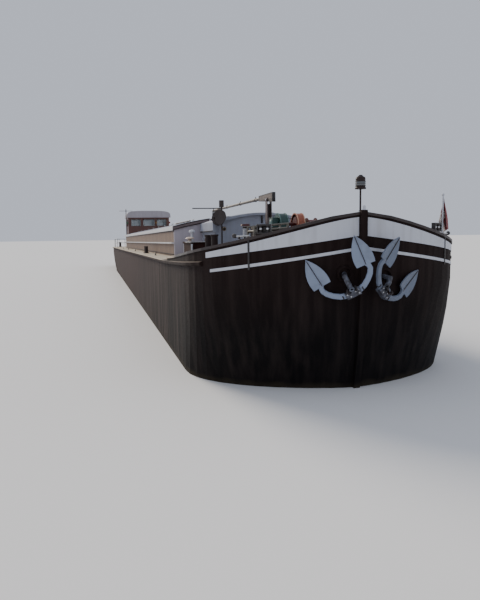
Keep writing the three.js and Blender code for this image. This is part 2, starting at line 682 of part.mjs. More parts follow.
function buildTabernacle() {
  const { x } = MAST;
  const block = box(x - POST.back, x + POST.front, -POST.half, POST.half, DEPTH + 5, POST.top);
  const foot = box(x - 180, x + 140, -140, 140, DEPTH + SEAT, DEPTH + 30);
  const channel = box(x - POST.back + POST.web, x + 200, -POST.gap, POST.gap, POST.slot, POST.top + 10);
  const mouth = box(x - 200, x + 200, -POST.gap, POST.gap, POST.webTop, POST.top + 10);
  const bore = rod([x, -200, MAST.pivot], [x, 200, MAST.pivot], MAST.pin + 0.6, 24);
  return cut(join(block, foot), channel, mouth, bore);
}

function buildMast() {
  const { x, pivot, low, high, half, pin } = MAST;
  const heel = along([
    [x + MAST.weightEnd, low], [x + MAST.weightEnd, high], [x - MAST.heelEnd, high - 10],
    [x - MAST.heelEnd, MAST.heelLow],
  ], -half, half);
  return join(
    heel,
    rod([x - MAST.heelEnd + 20, 0, MAST.line], [x - MAST.length, 0, MAST.line], MAST.rootRadius, 16, MAST.tipRadius),
    rod([x, -POST.half - 8, pivot], [x, POST.half + 8, pivot], pin, 16),
  );
}

put('mast_post', buildTabernacle(), darkBrown);
put('mast', buildMast(), darkBrown);

// Dish aerial by the deckhouse corner

const DISH = { x: aft(5150), y: -1050, z: 3535, radius: 195, depth: 45, pole: 20, top: 3800, turn: -44, tilt: 15 };

function buildDish() {
  const { x, y, z, radius, depth } = DISH;
  const bowl = [];
  for (let i = 0; i <= 5; i += 1) bowl.push([(radius * i) / 5, depth * (i / 5) ** 2 - 14]);
  for (let i = 5; i >= 0; i -= 1) bowl.push([(radius * i) / 5, depth * (i / 5) ** 2]);
  const reflector = welded(new THREE.LatheGeometry(bowl.map(([r, h]) => new THREE.Vector2(r, h)), 20));
  const arm = pipe([[0, 10, -radius + 20], [0, 150, -radius * 0.9], [0, 260, -60]], 10, 6);
  const feed = rod([0, 230, -60], [0, 300, -60], 28, 10);
  const bracket = rod([0, -90, 0], [0, 0, 0], 30, 8);
  const head = join(reflector, arm, feed, bracket).rotateZ(-Math.PI / 2);
  head.rotateY(THREE.MathUtils.degToRad(-DISH.tilt)).rotateZ(THREE.MathUtils.degToRad(DISH.turn));
  const back = new THREE.Vector3(90, 0, 0).applyAxisAngle(new THREE.Vector3(0, 0, 1), THREE.MathUtils.degToRad(DISH.turn));
  head.translate(x + back.x, y + back.y, z);
  return join(
    head,
    rod([x, y, DEPTH + 6], [x, y, DISH.top], DISH.pole, 12),
    rod([x, y, DEPTH + SEAT], [x, y, DEPTH + 15], 70, 14),
    rod([x, y, DISH.top - 11], [x, y, DISH.top + 150], 58, 16),
    rod([x, y, 3765], [x - 120, y - 680, 3770], 12, 6),
  );
}

put('dish_aerial', buildDish(), darkBrown);

// Rounded roofs: height of an arch at a distance off the centre line
function archHeight(y, half, edge, crown) {
  return edge + (crown - edge) * (1 - (y / half) ** 2);
}

function archPoints(half, edge, crown, steps, width = half) {
  const points = [];
  for (let i = 0; i <= steps; i += 1) {
    const y = width - (2 * width * i) / steps;
    points.push([y, archHeight(y, half, edge, crown)]);
  }
  return points;
}

// Deckhouse at the fore end of the hold

const CABIN_ROOF = { overhang: 60, wall: 80, thick: 50, front: 5240 };
const CABIN_DOOR = { y: [360, 1010], z: [2650, 3195], thick: 40, gap: 6 };

function cabinHinges() {
  return knuckles(aft(CABIN.front), CABIN_DOOR.y[1], [2715, 3020]);
}

function buildCabinWalls() {
  const { halfWidth: half, wall, eaves } = CABIN;
  const [front, back] = [aft(CABIN.front), aft(HOLD.front) + SEAT];
  const inner = half + CABIN_ROOF.overhang - CABIN_ROOF.wall;
  const gable = [
    [-half, DEPTH + SEAT], [half, DEPTH + SEAT], [half, eaves], [inner - 1, eaves],
    ...archPoints(inner, CABIN.shoulder - CABIN_ROOF.thick - 2, CABIN.crown - CABIN_ROOF.thick - 2, 14, inner - 1),
    [-inner + 1, eaves], [-half, eaves],
  ];
  const { y: [y0, y1], z: [z0, z1], gap } = CABIN_DOOR;
  const hinges = cabinHinges();
  return join(cut(
    join(
      across(gable, front - wall, front),
      box(back, front, half - wall, half, DEPTH + SEAT, eaves),
      box(back, front, -half, wall - half, DEPTH + SEAT, eaves),
    ),
    box(front - wall - 10, front + 10, y0 - gap, y1 + gap, z0 - gap, z1 + gap), ...hinges.leafSpace,
  ), ...hinges.frame);
}

function buildCabinRoof() {
  const outer = CABIN.halfWidth + CABIN_ROOF.overhang;
  const inner = outer - CABIN_ROOF.wall;
  const low = CABIN.eaves + SEAT;
  const outline = [
    [outer, low], ...archPoints(outer, CABIN.shoulder, CABIN.crown, 14), [-outer, low], [-inner, low],
    ...archPoints(inner, CABIN.shoulder - CABIN_ROOF.thick, CABIN.crown - CABIN_ROOF.thick, 14).reverse(), [inner, low],
  ];
  return across(outline, aft(HOLD.front) + 31, aft(CABIN_ROOF.front));
}

function buildCabinDoor() {
  const { y: [y0, y1], z: [z0, z1], thick } = CABIN_DOOR;
  const front = aft(CABIN.front);
  const hinges = cabinHinges();
  return join(
    cut(box(front - thick, front, y0, y1, z0, z1), ...hinges.frameSpace),
    box(front - 5, front + 12, y0 + 60, y0 + 90, 2880, 3000), ...hinges.leaf,
  );
}

put('deckhouse_walls', buildCabinWalls(), white);
put('deckhouse_roof', buildCabinRoof(), white);
put('deckhouse_door', buildCabinDoor(), white);

const LOCKER = { back: [4700, 5800], y: [-1870, -1540], top: 2950, wall: 18, lid: 40, lip: 20, raise: SEAT };

function buildLocker() {
  const { back: [b0, b1], y: [y0, y1], top, wall } = LOCKER;
  return cut(
    box(aft(b1), aft(b0), y0, y1, DEPTH + SEAT, top),
    box(aft(b1) + wall, aft(b0) - wall, y0 + wall, y1 - wall, DEPTH + 20, top + 10),
  );
}

function buildLockerLid() {
  const { back: [b0, b1], y: [y0, y1], top, lid, lip, raise } = LOCKER;
  return box(aft(b1) - lip, aft(b0) + lip, y0 - lip, y1 + 10, top + raise, top + raise + lid);
}

put('deck_locker', buildLocker(), darkBrown);
put('deck_locker_lid', buildLockerLid(), darkBrown);

// Hold sides, bulkheads and roof

const ROOF = { half: 1995, edge: 3340, crown: HOLD.crown - 50, thick: 50, skirt: 3290, skirtWall: 38, panels: 5, joint: 6 };
const LEDGE = { low: 2935, out: 70 };

function roofUnder(y) {
  return archHeight(y, ROOF.half, ROOF.edge, ROOF.crown);
}

const holdFrontFace = aft(HOLD.front);
const holdBackFace = aft(HOLD.back);

function buildBulkhead(x0, x1) {
  const half = HOLD.halfWidth;
  const outline = [[-half, DEPTH + SEAT], [half, DEPTH + SEAT]];
  for (let i = 0; i <= 12; i += 1) {
    const y = half - (2 * half * i) / 12;
    outline.push([y, roofUnder(y) - 1]);
  }
  return across(outline, x0, x1);
}

put('hold_bulkhead_fore', buildBulkhead(holdFrontFace - HOLD.wall, holdFrontFace), white);
put('hold_bulkhead_aft', buildBulkhead(holdBackFace, holdBackFace + HOLD.wall), boardBrown);

for (const { name, sign } of SIDES) {
  const [outer, inner] = [sign * HOLD.halfWidth, sign * (HOLD.halfWidth - HOLD.wall)];
  const [x0, x1] = [holdBackFace + HOLD.wall + SEAT, holdFrontFace - HOLD.wall - SEAT];
  const coaming = [
    [inner, DEPTH + SEAT], [outer, DEPTH + SEAT], [outer, LEDGE.low], [outer + sign * LEDGE.out, LEDGE.low + 8],
    [outer + sign * LEDGE.out, HOLD.ledge], [inner, HOLD.ledge],
  ];
  const screen = [
    [inner, HOLD.ledge + SEAT], [outer, HOLD.ledge + SEAT],
    [outer, roofUnder(HOLD.halfWidth) - 1], [inner, roofUnder(HOLD.halfWidth - HOLD.wall) - 1],
  ];
  put(`hold_coaming_${name}`, across(coaming, x0, x1), boardBrown);
  put(`hold_side_${name}`, across(screen, x0, x1), boardBrown);
}

function buildRoofPanel(x0, x1) {
  const { half, thick, skirt, skirtWall, edge, crown } = ROOF;
  const inner = half - skirtWall;
  const outline = [
    [half, skirt], ...archPoints(half, edge + thick, crown + thick, 16), [-half, skirt], [-inner, skirt],
    ...archPoints(half, edge, crown, 16, inner).reverse(), [inner, skirt],
  ];
  return across(outline, x0, x1);
}

const CRUTCH = { x: aft(10600), top: 3965, radius: 22 };

function buildCrutch() {
  const { x, top, radius } = CRUTCH;
  const foot = ROOF.crown + ROOF.thick - 10;
  return join(
    box(x - 90, x + 90, -90, 90, foot, foot + 24),
    rod([x, 0, foot + 5], [x, 0, top], radius, 10),
    pipe([[x, -75, top + 70], [x, -55, top + 10], [x, 0, top - 8], [x, 55, top + 10], [x, 75, top + 70]], 12, 8),
  );
}

const roofStart = holdFrontFace + 25;
const roofPitch = (roofStart - (holdBackFace - 25)) / ROOF.panels;
for (let i = 0; i < ROOF.panels; i += 1) {
  const x1 = roofStart - i * roofPitch;
  const panel = buildRoofPanel(x1 - roofPitch + (i < ROOF.panels - 1 ? ROOF.joint : 0), x1);
  put(`roof_panel_${i + 1}`, i === 0 ? join(panel, buildCrutch()) : panel, white);
}

// Engine room: casing, hatch lid and the engine itself as one block

const HATCH = { back: [30000, 31000], half: 450, lip: 50, thick: 50, raise: SEAT };

function buildCasing() {
  const { front, back, halfWidth: half, wall, top } = CASING;
  const [x0, x1] = [aft(back), aft(front)];
  return cut(
    box(x0, x1, -half, half, DEPTH + SEAT, top),
    box(x0 + wall, x1 - wall, wall - half, half - wall, DEPTH - 10, top - wall),
    box(aft(HATCH.back[1]), aft(HATCH.back[0]), -HATCH.half, HATCH.half, top - wall - 10, top + 10),
  );
}

put('engine_casing', buildCasing(), white);
put('engine_hatch', box(
  aft(HATCH.back[1]) - HATCH.lip, aft(HATCH.back[0]) + HATCH.lip, -HATCH.half - HATCH.lip, HATCH.half + HATCH.lip,
  CASING.top + HATCH.raise, CASING.top + HATCH.raise + HATCH.thick), redBrown);
put('engine', box(
  aft(ENGINE.back), aft(ENGINE.front), -ENGINE.halfWidth, ENGINE.halfWidth, POCKET.floor, ENGINE.top), green);

// Propeller and rudder

function buildPropeller() {
  const { x, radius, hub, hubLength, blades } = PROP;
  const pitch = 700;
  const stations = [[70, 110, 44], [190, 230, 32], [340, 290, 22], [radius, 150, 12]];
  const loops = stations.map(([r, chord, thick]) => {
    const angle = Math.atan2(pitch, 2 * Math.PI * r);
    const [c, s] = [Math.cos(angle), Math.sin(angle)];
    return [[-0.5, 0], [0, -0.5], [0.5, 0], [0, 0.5]].map(([u, v]) => [
      u * chord * s + v * thick * c, u * chord * c - v * thick * s, r]);
  });
  const pieces = [];
  for (let i = 0; i < blades; i += 1) {
    pieces.push(loft(loops).rotateX((2 * Math.PI * i) / blades).translate(x, 0, SHAFT.z));
  }
  return join(
    rod([x + hubLength / 2, 0, SHAFT.z], [x - hubLength / 2, 0, SHAFT.z], hub, 20, hub * 0.7),
    rod([x - hubLength / 2 + 5, 0, SHAFT.z], [x - hubLength / 2 - 90, 0, SHAFT.z], hub * 0.7, 20, 25),
    rod([x, 0, SHAFT.z], [aft(ENGINE.back) - 8, 0, SHAFT.z], SHAFT.radius, 24),
    ...pieces,
  );
}

const BLADE = { low: 200, high: 1250, end: -LENGTH / 2, root: 60, tail: 16 };
const QUADRANT = { radius: 680, half: 38, low: 2690, thick: 60 };

function buildRudder() {
  const { x, radius, head } = STOCK;
  const section = (z, end) => [
    [x + 60, 0, z], [x + 20, -BLADE.root, z], [x - 450, -BLADE.root, z], [end, -BLADE.tail, z],
    [end, BLADE.tail, z], [x - 450, BLADE.root, z], [x + 20, BLADE.root, z],
  ];
  const quadrant = new THREE.Shape();
  const half = THREE.MathUtils.degToRad(QUADRANT.half);
  quadrant.moveTo(-120, 0);
  quadrant.lineTo(0, -130);
  quadrant.absarc(0, 0, QUADRANT.radius, -half, half, false);
  quadrant.lineTo(0, 130);
  quadrant.closePath();
  const plate = new THREE.ExtrudeGeometry(quadrant, { depth: QUADRANT.thick, bevelEnabled: false, curveSegments: 10 });
  return join(
    rod([x, 0, 90 + SEAT], [x, 0, head], radius, 24),
    loft([section(BLADE.low, BLADE.end + 160), section(BLADE.low + 180, BLADE.end), section(BLADE.high, BLADE.end)]),
    plate.translate(x, 0, QUADRANT.low),
  );
}

put('propeller', buildPropeller(), bronze);
put('rudder', buildRudder(), black);

// Wheelhouse

const WINDOWS = { z: [4080, 4550], front: [[-1250, -570], [-410, 410], [570, 1250]], side: [33350, 34050] };
const HOUSE_DOOR = { back: [34250, 34980], z: [2640, 4570], gap: 6, window: [3750, 4450], frame: 110 };
const HOUSE_ROOF = { overhang: 105, thick: 45, gable: 60, fullness: 4 };

function houseHinges(side) {
  return knuckles(aft(HOUSE_DOOR.back[0]), side * WHEELHOUSE.halfWidth, [2880, 4330]);
}

function buildHouseWalls() {
  const { front, back, halfWidth: half, wall, eaves } = WHEELHOUSE;
  const [x0, x1] = [aft(back), aft(front)];
  const [z0, z1] = WINDOWS.z;
  const { back: [b0, b1], z: [d0, d1], gap } = HOUSE_DOOR;
  const hinges = SIDES.map(({ sign }) => houseHinges(sign));
  return join(cut(
    box(x0, x1, -half, half, DEPTH + SEAT, eaves),
    box(x0 + wall, x1 - wall, wall - half, half - wall, DEPTH - 10, eaves + 10),
    ...WINDOWS.front.map(([y0, y1]) => box(x0 - 10, x1 + 10, y0, y1, z0, z1)),
    box(aft(WINDOWS.side[1]), aft(WINDOWS.side[0]), -half - 10, half + 10, z0, z1),
    box(aft(b1) - gap, aft(b0) + gap, -half - 10, half + 10, d0 - gap, d1 + gap),
    ...hinges.flatMap(({ leafSpace }) => leafSpace),
  ), ...hinges.flatMap(({ frame }) => frame));
}

// A flat-topped arch with round shoulders, from one side to the other
function turtleBack(half, low, high, limit = half) {
  const { fullness: n } = HOUSE_ROOF;
  const count = 16;
  return Array.from({ length: count + 1 }, (_, i) => {
    const y = limit * Math.cos((Math.PI * i) / count);
    return [y, low + (high - low) * Math.max(0, 1 - Math.abs(y / half) ** n) ** (1 / n)];
  });
}

function buildHouseRoof() {
  const { overhang, thick, gable } = HOUSE_ROOF;
  const { front, back, halfWidth, eaves, crown } = WHEELHOUSE;
  const half = halfWidth + overhang;
  const low = eaves + SEAT;
  const [x0, x1] = [aft(back) - overhang, aft(front) + overhang];
  const outer = [[half, low], ...turtleBack(half, eaves + 40, crown), [-half, low]];
  const inner = [
    [halfWidth - 20, low - 10], ...turtleBack(half, eaves, crown - thick, halfWidth - 20), [20 - halfWidth, low - 10]];
  return cut(across(outer, x0, x1), across(inner, x0 + overhang + gable / 2, x1 - overhang - gable / 2));
}

function buildHouseDoor(side) {
  const { back: [b0, b1], z: [z0, z1], window: [w0, w1], frame } = HOUSE_DOOR;
  const [outer, inner] = [WHEELHOUSE.halfWidth, WHEELHOUSE.halfWidth - 50];
  const [y0, y1] = side > 0 ? [inner, outer] : [-outer, -inner];
  const [h0, h1] = side > 0 ? [outer - 5, outer + 14] : [-outer - 14, 5 - outer];
  const hinges = houseHinges(side);
  return join(
    cut(box(aft(b1), aft(b0), y0, y1, z0, z1), box(aft(b1) + frame, aft(b0) - frame, y0 - 10, y1 + 10, w0, w1),
      ...hinges.frameSpace),
    box(aft(b1) + 30, aft(b1) + 60, h0, h1, 3560, 3700), ...hinges.leaf,
  );
}

put('wheelhouse_walls', buildHouseWalls(), redBrown);
put('wheelhouse_roof', buildHouseRoof(), grey);
for (const side of SIDES) put(`wheelhouse_door_${side.name}`, buildHouseDoor(side.sign), redBrown);

const GLASS = { thick: 8, half: 1310, z: [4040, 4590] };
const houseFront = aft(WHEELHOUSE.front) - WHEELHOUSE.wall - SEAT;
const houseBack = aft(WHEELHOUSE.back) + WHEELHOUSE.wall + SEAT;
put('wheelhouse_glass_fore', box(houseFront - GLASS.thick, houseFront, -GLASS.half, GLASS.half, ...GLASS.z), glass);
put('wheelhouse_glass_aft', box(houseBack, houseBack + GLASS.thick, -GLASS.half, GLASS.half, ...GLASS.z), glass);

const HELM = { x: aft(33800), z: 3560, radius: 500, rim: 18, spokes: 8, hub: 70 };
const CONSOLE = { back: [33120, 33560], half: 520, top: 3750 };

function buildWheel() {
  const { x, z, radius, rim, spokes, hub } = HELM;
  const pieces = [
    welded(new THREE.TorusGeometry(radius, rim, 8, 32)).rotateY(Math.PI / 2).translate(x, 0, z),
    rod([x - 40, 0, z], [x + 40, 0, z], hub, 16),
    rod([x, 0, z], [aft(CONSOLE.back[1]) + 60, 0, z], 25, 16),
  ];
  for (let i = 0; i < spokes; i += 1) {
    const angle = (2 * Math.PI * i) / spokes;
    const reach = (r) => [x, r * Math.sin(angle), z + r * Math.cos(angle)];
    pieces.push(rod(reach(hub - 20), reach(radius + 110), 13, 8));
  }
  return join(...pieces);
}

function buildConsole() {
  const { back: [b0, b1], half, top } = CONSOLE;
  const desk = along([
    [aft(b0), DEPTH + SEAT], [aft(b0), top], [aft(b0) - 120, top], [aft(b1), top - 110], [aft(b1), DEPTH + SEAT],
  ], -half, half);
  return cut(desk, rod([aft(b1) - 10, 0, HELM.z], [aft(b1) + 80, 0, HELM.z], 25.6, 24));
}

put('steering_wheel', buildWheel(), redBrown);
put('helm_console', buildConsole(), redBrown);

// Rail round the stern

const RAIL = { start: 30800, inset: 120, top: 3180, middle: 2890, radius: 20, post: 17 };

function buildSternRail() {
  const stern = deckOutline.filter(([x]) => x < aft(34500));
  const port = edgePath([[aft(RAIL.start), HALF_BEAM], [aft(33000), HALF_BEAM], ...stern.slice(0, -1)]);
  const inset = port.map(({ x, y, nx, ny }) => [x - nx * RAIL.inset, y - ny * RAIL.inset]);
  const loop = [...inset, [deckOutline.at(-1)[0] + RAIL.inset, 0], ...inset.map(([x, y]) => [x, -y]).reverse()];
  const run = (z) => pipe(loop.map(([x, y]) => [x, y, z]), RAIL.radius);
  const posts = loop.filter((_, i) => i % 2 === 0 || i === loop.length - 1)
    .map(([x, y]) => rod([x, y, DEPTH + SEAT], [x, y, RAIL.top], RAIL.post, 8));
  return join(run(RAIL.top), run(RAIL.middle), ...posts);
}

put('stern_rail', buildSternRail(), grey);

export default group;
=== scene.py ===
# %% [markdown]
# # A river barge
# This lesson dresses a solid model of a 38.5 metre river barge. The solids come first as a fixed
# frame, in metres, with +X to the bow, +Y to port and +Z up. Everything added here sits on them.

# %% Load the fixed frame
import math

import bpy
from mathutils import Matrix, Vector


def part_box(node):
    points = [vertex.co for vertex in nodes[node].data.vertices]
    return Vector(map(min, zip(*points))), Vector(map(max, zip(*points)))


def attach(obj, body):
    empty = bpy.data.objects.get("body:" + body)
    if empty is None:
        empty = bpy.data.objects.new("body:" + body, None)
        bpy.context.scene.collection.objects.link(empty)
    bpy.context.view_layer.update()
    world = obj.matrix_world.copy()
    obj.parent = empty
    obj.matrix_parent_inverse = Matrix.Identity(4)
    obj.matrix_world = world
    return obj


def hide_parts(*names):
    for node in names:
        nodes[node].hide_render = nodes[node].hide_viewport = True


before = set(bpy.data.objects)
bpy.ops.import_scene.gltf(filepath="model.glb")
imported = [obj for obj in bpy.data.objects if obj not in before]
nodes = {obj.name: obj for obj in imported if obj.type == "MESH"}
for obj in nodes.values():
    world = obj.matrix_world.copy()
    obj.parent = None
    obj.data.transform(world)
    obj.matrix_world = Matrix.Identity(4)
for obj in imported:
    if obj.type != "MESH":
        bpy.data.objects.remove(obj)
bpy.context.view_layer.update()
bpy.ops.object.select_all(action="DESELECT")

# %% [markdown]
# ## Where things are
# A boat is measured from its stem, the upright bar where both sides of the bow meet. Distances
# aft of the stem are easy to think in, so one small helper turns them into the frame's x.

# %% Measure from the stem
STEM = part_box("hull")[1][0]
DECK = 2.6


def aft(distance):
    """The frame's x at a distance aft of the stem."""
    return STEM - distance


print("stem plating at x =", round(STEM, 3))

# %% [markdown]
# ## The camera
# The photographer stood on the bank ahead of the bow, off its starboard side, with the eye about
# three metres above the flat bottom. The camera looks aft and a little down. Its direction is
# built from a heading, a pitch and a small roll, so each can be read and changed by itself.

# %% Set up the camera
HEADING, PITCH, ROLL = (math.radians(angle) for angle in (14.68, 6.17, -0.86))
EYE = (STEM + 7.98, -4.07, 3.03)
FOCAL_PIXELS, LONG_SIDE = 561.9, 600

ahead = Vector((-math.cos(HEADING), math.sin(HEADING), 0))
level = Vector((math.sin(HEADING), math.cos(HEADING), 0))
upright = Vector((0, 0, 1))
view_line = math.cos(PITCH) * ahead - math.sin(PITCH) * upright
view_up = math.sin(PITCH) * ahead + math.cos(PITCH) * upright
right = math.cos(ROLL) * level + math.sin(ROLL) * view_up
top = math.cos(ROLL) * view_up - math.sin(ROLL) * level

lens = bpy.data.cameras.new("camera")
lens.sensor_width = 36
lens.lens = FOCAL_PIXELS / LONG_SIDE * lens.sensor_width
lens.clip_end = 500
camera = bpy.data.objects.new("camera", lens)
bpy.context.scene.collection.objects.link(camera)
camera.matrix_world = Matrix((right, top, -view_line)).transposed().to_4x4()
camera.location = EYE
bpy.context.scene.camera = camera
print("camera at", [round(v, 2) for v in camera.location])

# %% [markdown]
# ## Floor and light
# The floor stands for the water, so the boat sinks into it up to its waterline. An empty barge
# floats deeper by the stern, where the engine is, so the floor is tilted a little against the
# flat bottom. One broad soft sun, low over the starboard quarter, and a pale sky light the boat
# like a studio, so the bow stands in soft shade and the decks shine.

# %% Make the floor, the sun and the sky
BOW_DRAUGHT, TRIM, FLOOR_SIZE = 0.60, 0.014, 400
SUN_TURN = (math.radians(60), 0, math.radians(-70))
SUN_STRENGTH, SUN_SPREAD, SUN_COLOUR = 3.4, math.radians(25), (1.0, 0.90, 0.76)
SKY_STRENGTH, SKY_COLOUR = 0.75, (0.76, 0.81, 0.93, 1)

bpy.ops.mesh.primitive_plane_add(size=FLOOR_SIZE)
floor = bpy.context.object
floor.name = "floor"
floor.rotation_euler = (0, math.atan(TRIM), 0)
floor.location = (STEM, 0, BOW_DRAUGHT)

bpy.ops.object.light_add(type="SUN", rotation=SUN_TURN)
sun = bpy.context.object.data
sun.energy, sun.color, sun.angle = SUN_STRENGTH, SUN_COLOUR, SUN_SPREAD

world = bpy.data.worlds.new("sky")
bpy.context.scene.world = world
world.use_nodes = True
sky = world.node_tree.nodes["Background"].inputs
sky["Color"].default_value = SKY_COLOUR
sky["Strength"].default_value = SKY_STRENGTH
print("water at the bow", BOW_DRAUGHT, "m up, at the stern", round(BOW_DRAUGHT + TRIM * 2 * STEM, 2))

# %% [markdown]
# ## Paint
# Boat paint is never one even colour. Rain draws streaks down it, dirt gathers in broad patches
# and a fine grain breaks the gloss. One recipe makes all the paints: a noise stretched upright
# for streaks, a coarse noise for patches and a fine one for roughness and bump.


# %% A recipe for weathered paint
class Recipe:
    """A material with short ways to add nodes and wire them."""

    def __init__(self, name):
        self.material = bpy.data.materials.new(name)
        self.material.use_nodes = True
        self.tree = self.material.node_tree
        self.shader = self.tree.nodes["Principled BSDF"]
        self.place = self.add("ShaderNodeTexCoord").outputs["Object"]

    def add(self, kind, **settings):
        node = self.tree.nodes.new(kind)
        for key, value in settings.items():
            setattr(node, key, value)
        return node

    def feed(self, socket, value):
        if isinstance(value, bpy.types.NodeSocket):
            self.tree.links.new(value, socket)
        else:
            socket.default_value = value

    def math(self, operation, first, second=0.0):
        node = self.add("ShaderNodeMath", operation=operation)
        self.feed(node.inputs[0], first)
        self.feed(node.inputs[1], second)
        return node.outputs[0]

    def times(self, first, second):
        return self.math("MULTIPLY", first, second)

    def between(self, value, low, high):
        """1 where a value lies between two bounds, and 0 elsewhere."""
        return self.times(self.math("GREATER_THAN", value, low), self.math("LESS_THAN", value, high))

    def noise(self, scale, stretch=(1, 1, 1), detail=4.0):
        mapping = self.add("ShaderNodeMapping")
        self.feed(mapping.inputs["Vector"], self.place)
        mapping.inputs["Scale"].default_value = stretch
        texture = self.add("ShaderNodeTexNoise")
        self.feed(texture.inputs["Vector"], mapping.outputs[0])
        texture.inputs["Scale"].default_value = scale
        texture.inputs["Detail"].default_value = detail
        return texture.outputs[0]

    def ramp(self, value, low, high, out_low=0.0, out_high=1.0):
        node = self.add("ShaderNodeMapRange")
        self.feed(node.inputs[0], value)
        for socket, number in zip(node.inputs[1:5], (low, high, out_low, out_high)):
            self.feed(socket, number)
        return node.outputs[0]

    def mix(self, share, first, second):
        node = self.add("ShaderNodeMix", data_type="RGBA")
        self.feed(node.inputs[0], share)
        for socket, colour in ((node.inputs[6], first), (node.inputs[7], second)):
            self.feed(socket, (*colour, 1) if isinstance(colour, tuple) else colour)
        return node.outputs[2]

    def mottled(self, scale, first, second, low=0.4, high=0.7, stretch=(1, 1, 1)):
        """Two colours mixed in patches."""
        return self.mix(self.ramp(self.noise(scale, stretch), low, high), first, second)

    def parts(self):
        split = self.add("ShaderNodeSeparateXYZ")
        self.feed(split.inputs[0], self.place)
        return split.outputs

    def finish(self, colour, rough, bump, metal=0.0, depth=0.004):
        self.feed(self.shader.inputs["Base Color"], colour)
        self.feed(self.shader.inputs["Roughness"], rough)
        self.shader.inputs["Metallic"].default_value = metal
        dents = self.add("ShaderNodeBump")
        dents.inputs["Strength"].default_value = 0.5
        dents.inputs["Distance"].default_value = depth
        self.feed(dents.inputs["Height"], bump)
        self.feed(self.shader.inputs["Normal"], dents.outputs[0])
        print("finish:", self.material.name)
        return self.material

    def grained(self, colour, rough, metal=0.0, scale=60):
        """Finishes with a fine grain that breaks the gloss and the surface alike."""
        grain = self.noise(scale)
        return self.finish(colour, self.ramp(grain, 0.35, 0.65, *rough), grain, metal)


def weathered(name, colour, dirt, streaks=0.5, patches=0.4, rough=(0.35, 0.6), metal=0.0, gloss=0.5):
    recipe = Recipe(name)
    recipe.shader.inputs["Specular IOR Level"].default_value = gloss
    run = recipe.ramp(recipe.noise(1.0, (9, 9, 0.7)), 0.46, 0.72, 0, streaks)
    patch = recipe.ramp(recipe.noise(1.3), 0.5, 0.75, 0, patches)
    return recipe.grained(recipe.mix(recipe.math("MAXIMUM", run, patch), colour, dirt), rough, metal)


# %% [markdown]
# ## Colours of the boat
# The hull is a brown so dark that it looks black low on the bow. Above deck the house and the roof
# are white, the hold's sides are brown boards, and the machinery is green and orange.

# %% Mix the plain paints
# White paint, darkened and tinted blue-grey: painted shade, for a white that stands in shade.
shaded_white_paint = weathered("shaded_white_paint", (0.56, 0.58, 0.64), (0.34, 0.33, 0.33), 0.35, 0.3)
trim_brown = weathered("trim_brown", (0.030, 0.018, 0.017), (0.014, 0.010, 0.010), 0.5, 0.5, gloss=0.2)
# The deckhouse is white; this darker blue-grey is painted shade.
house_white_shaded = weathered("house_white_shaded", (0.33, 0.36, 0.44), (0.22, 0.22, 0.26), 0.35, 0.3)
# The fore bulkhead is white; this lilac grey is painted shade with a warm painted reflection.
bulkhead_shade_reflection = weathered("bulkhead_shade_reflection", (0.42, 0.39, 0.45), (0.27, 0.25, 0.27), 0.35, 0.3)
green_paint = weathered("green_paint", (0.020, 0.068, 0.060), (0.014, 0.028, 0.026), 0.5, 0.5, (0.3, 0.5))
orange_paint = weathered("orange_paint", (0.36, 0.095, 0.045), (0.12, 0.042, 0.026), 0.5, 0.5, (0.3, 0.5))
dark_red = weathered("dark_red", (0.11, 0.012, 0.009), (0.03, 0.01, 0.008), 0.5, 0.5)
house_red = weathered("house_red", (0.105, 0.042, 0.034), (0.055, 0.028, 0.024), 0.5, 0.4, (0.35, 0.55))
grey_paint = weathered("grey_paint", (0.30, 0.31, 0.33), (0.17, 0.16, 0.15), 0.4, 0.4)
roof_grey = weathered("roof_grey", (0.36, 0.34, 0.38), (0.22, 0.20, 0.21), 0.3, 0.5)
worn_steel = weathered("worn_steel", (0.22, 0.21, 0.20), (0.10, 0.055, 0.03), 0.5, 0.6, (0.3, 0.55), 0.8)
bronze = weathered("bronze", (0.34, 0.20, 0.07), (0.08, 0.11, 0.07), 0.2, 0.6, (0.25, 0.5), 0.9)
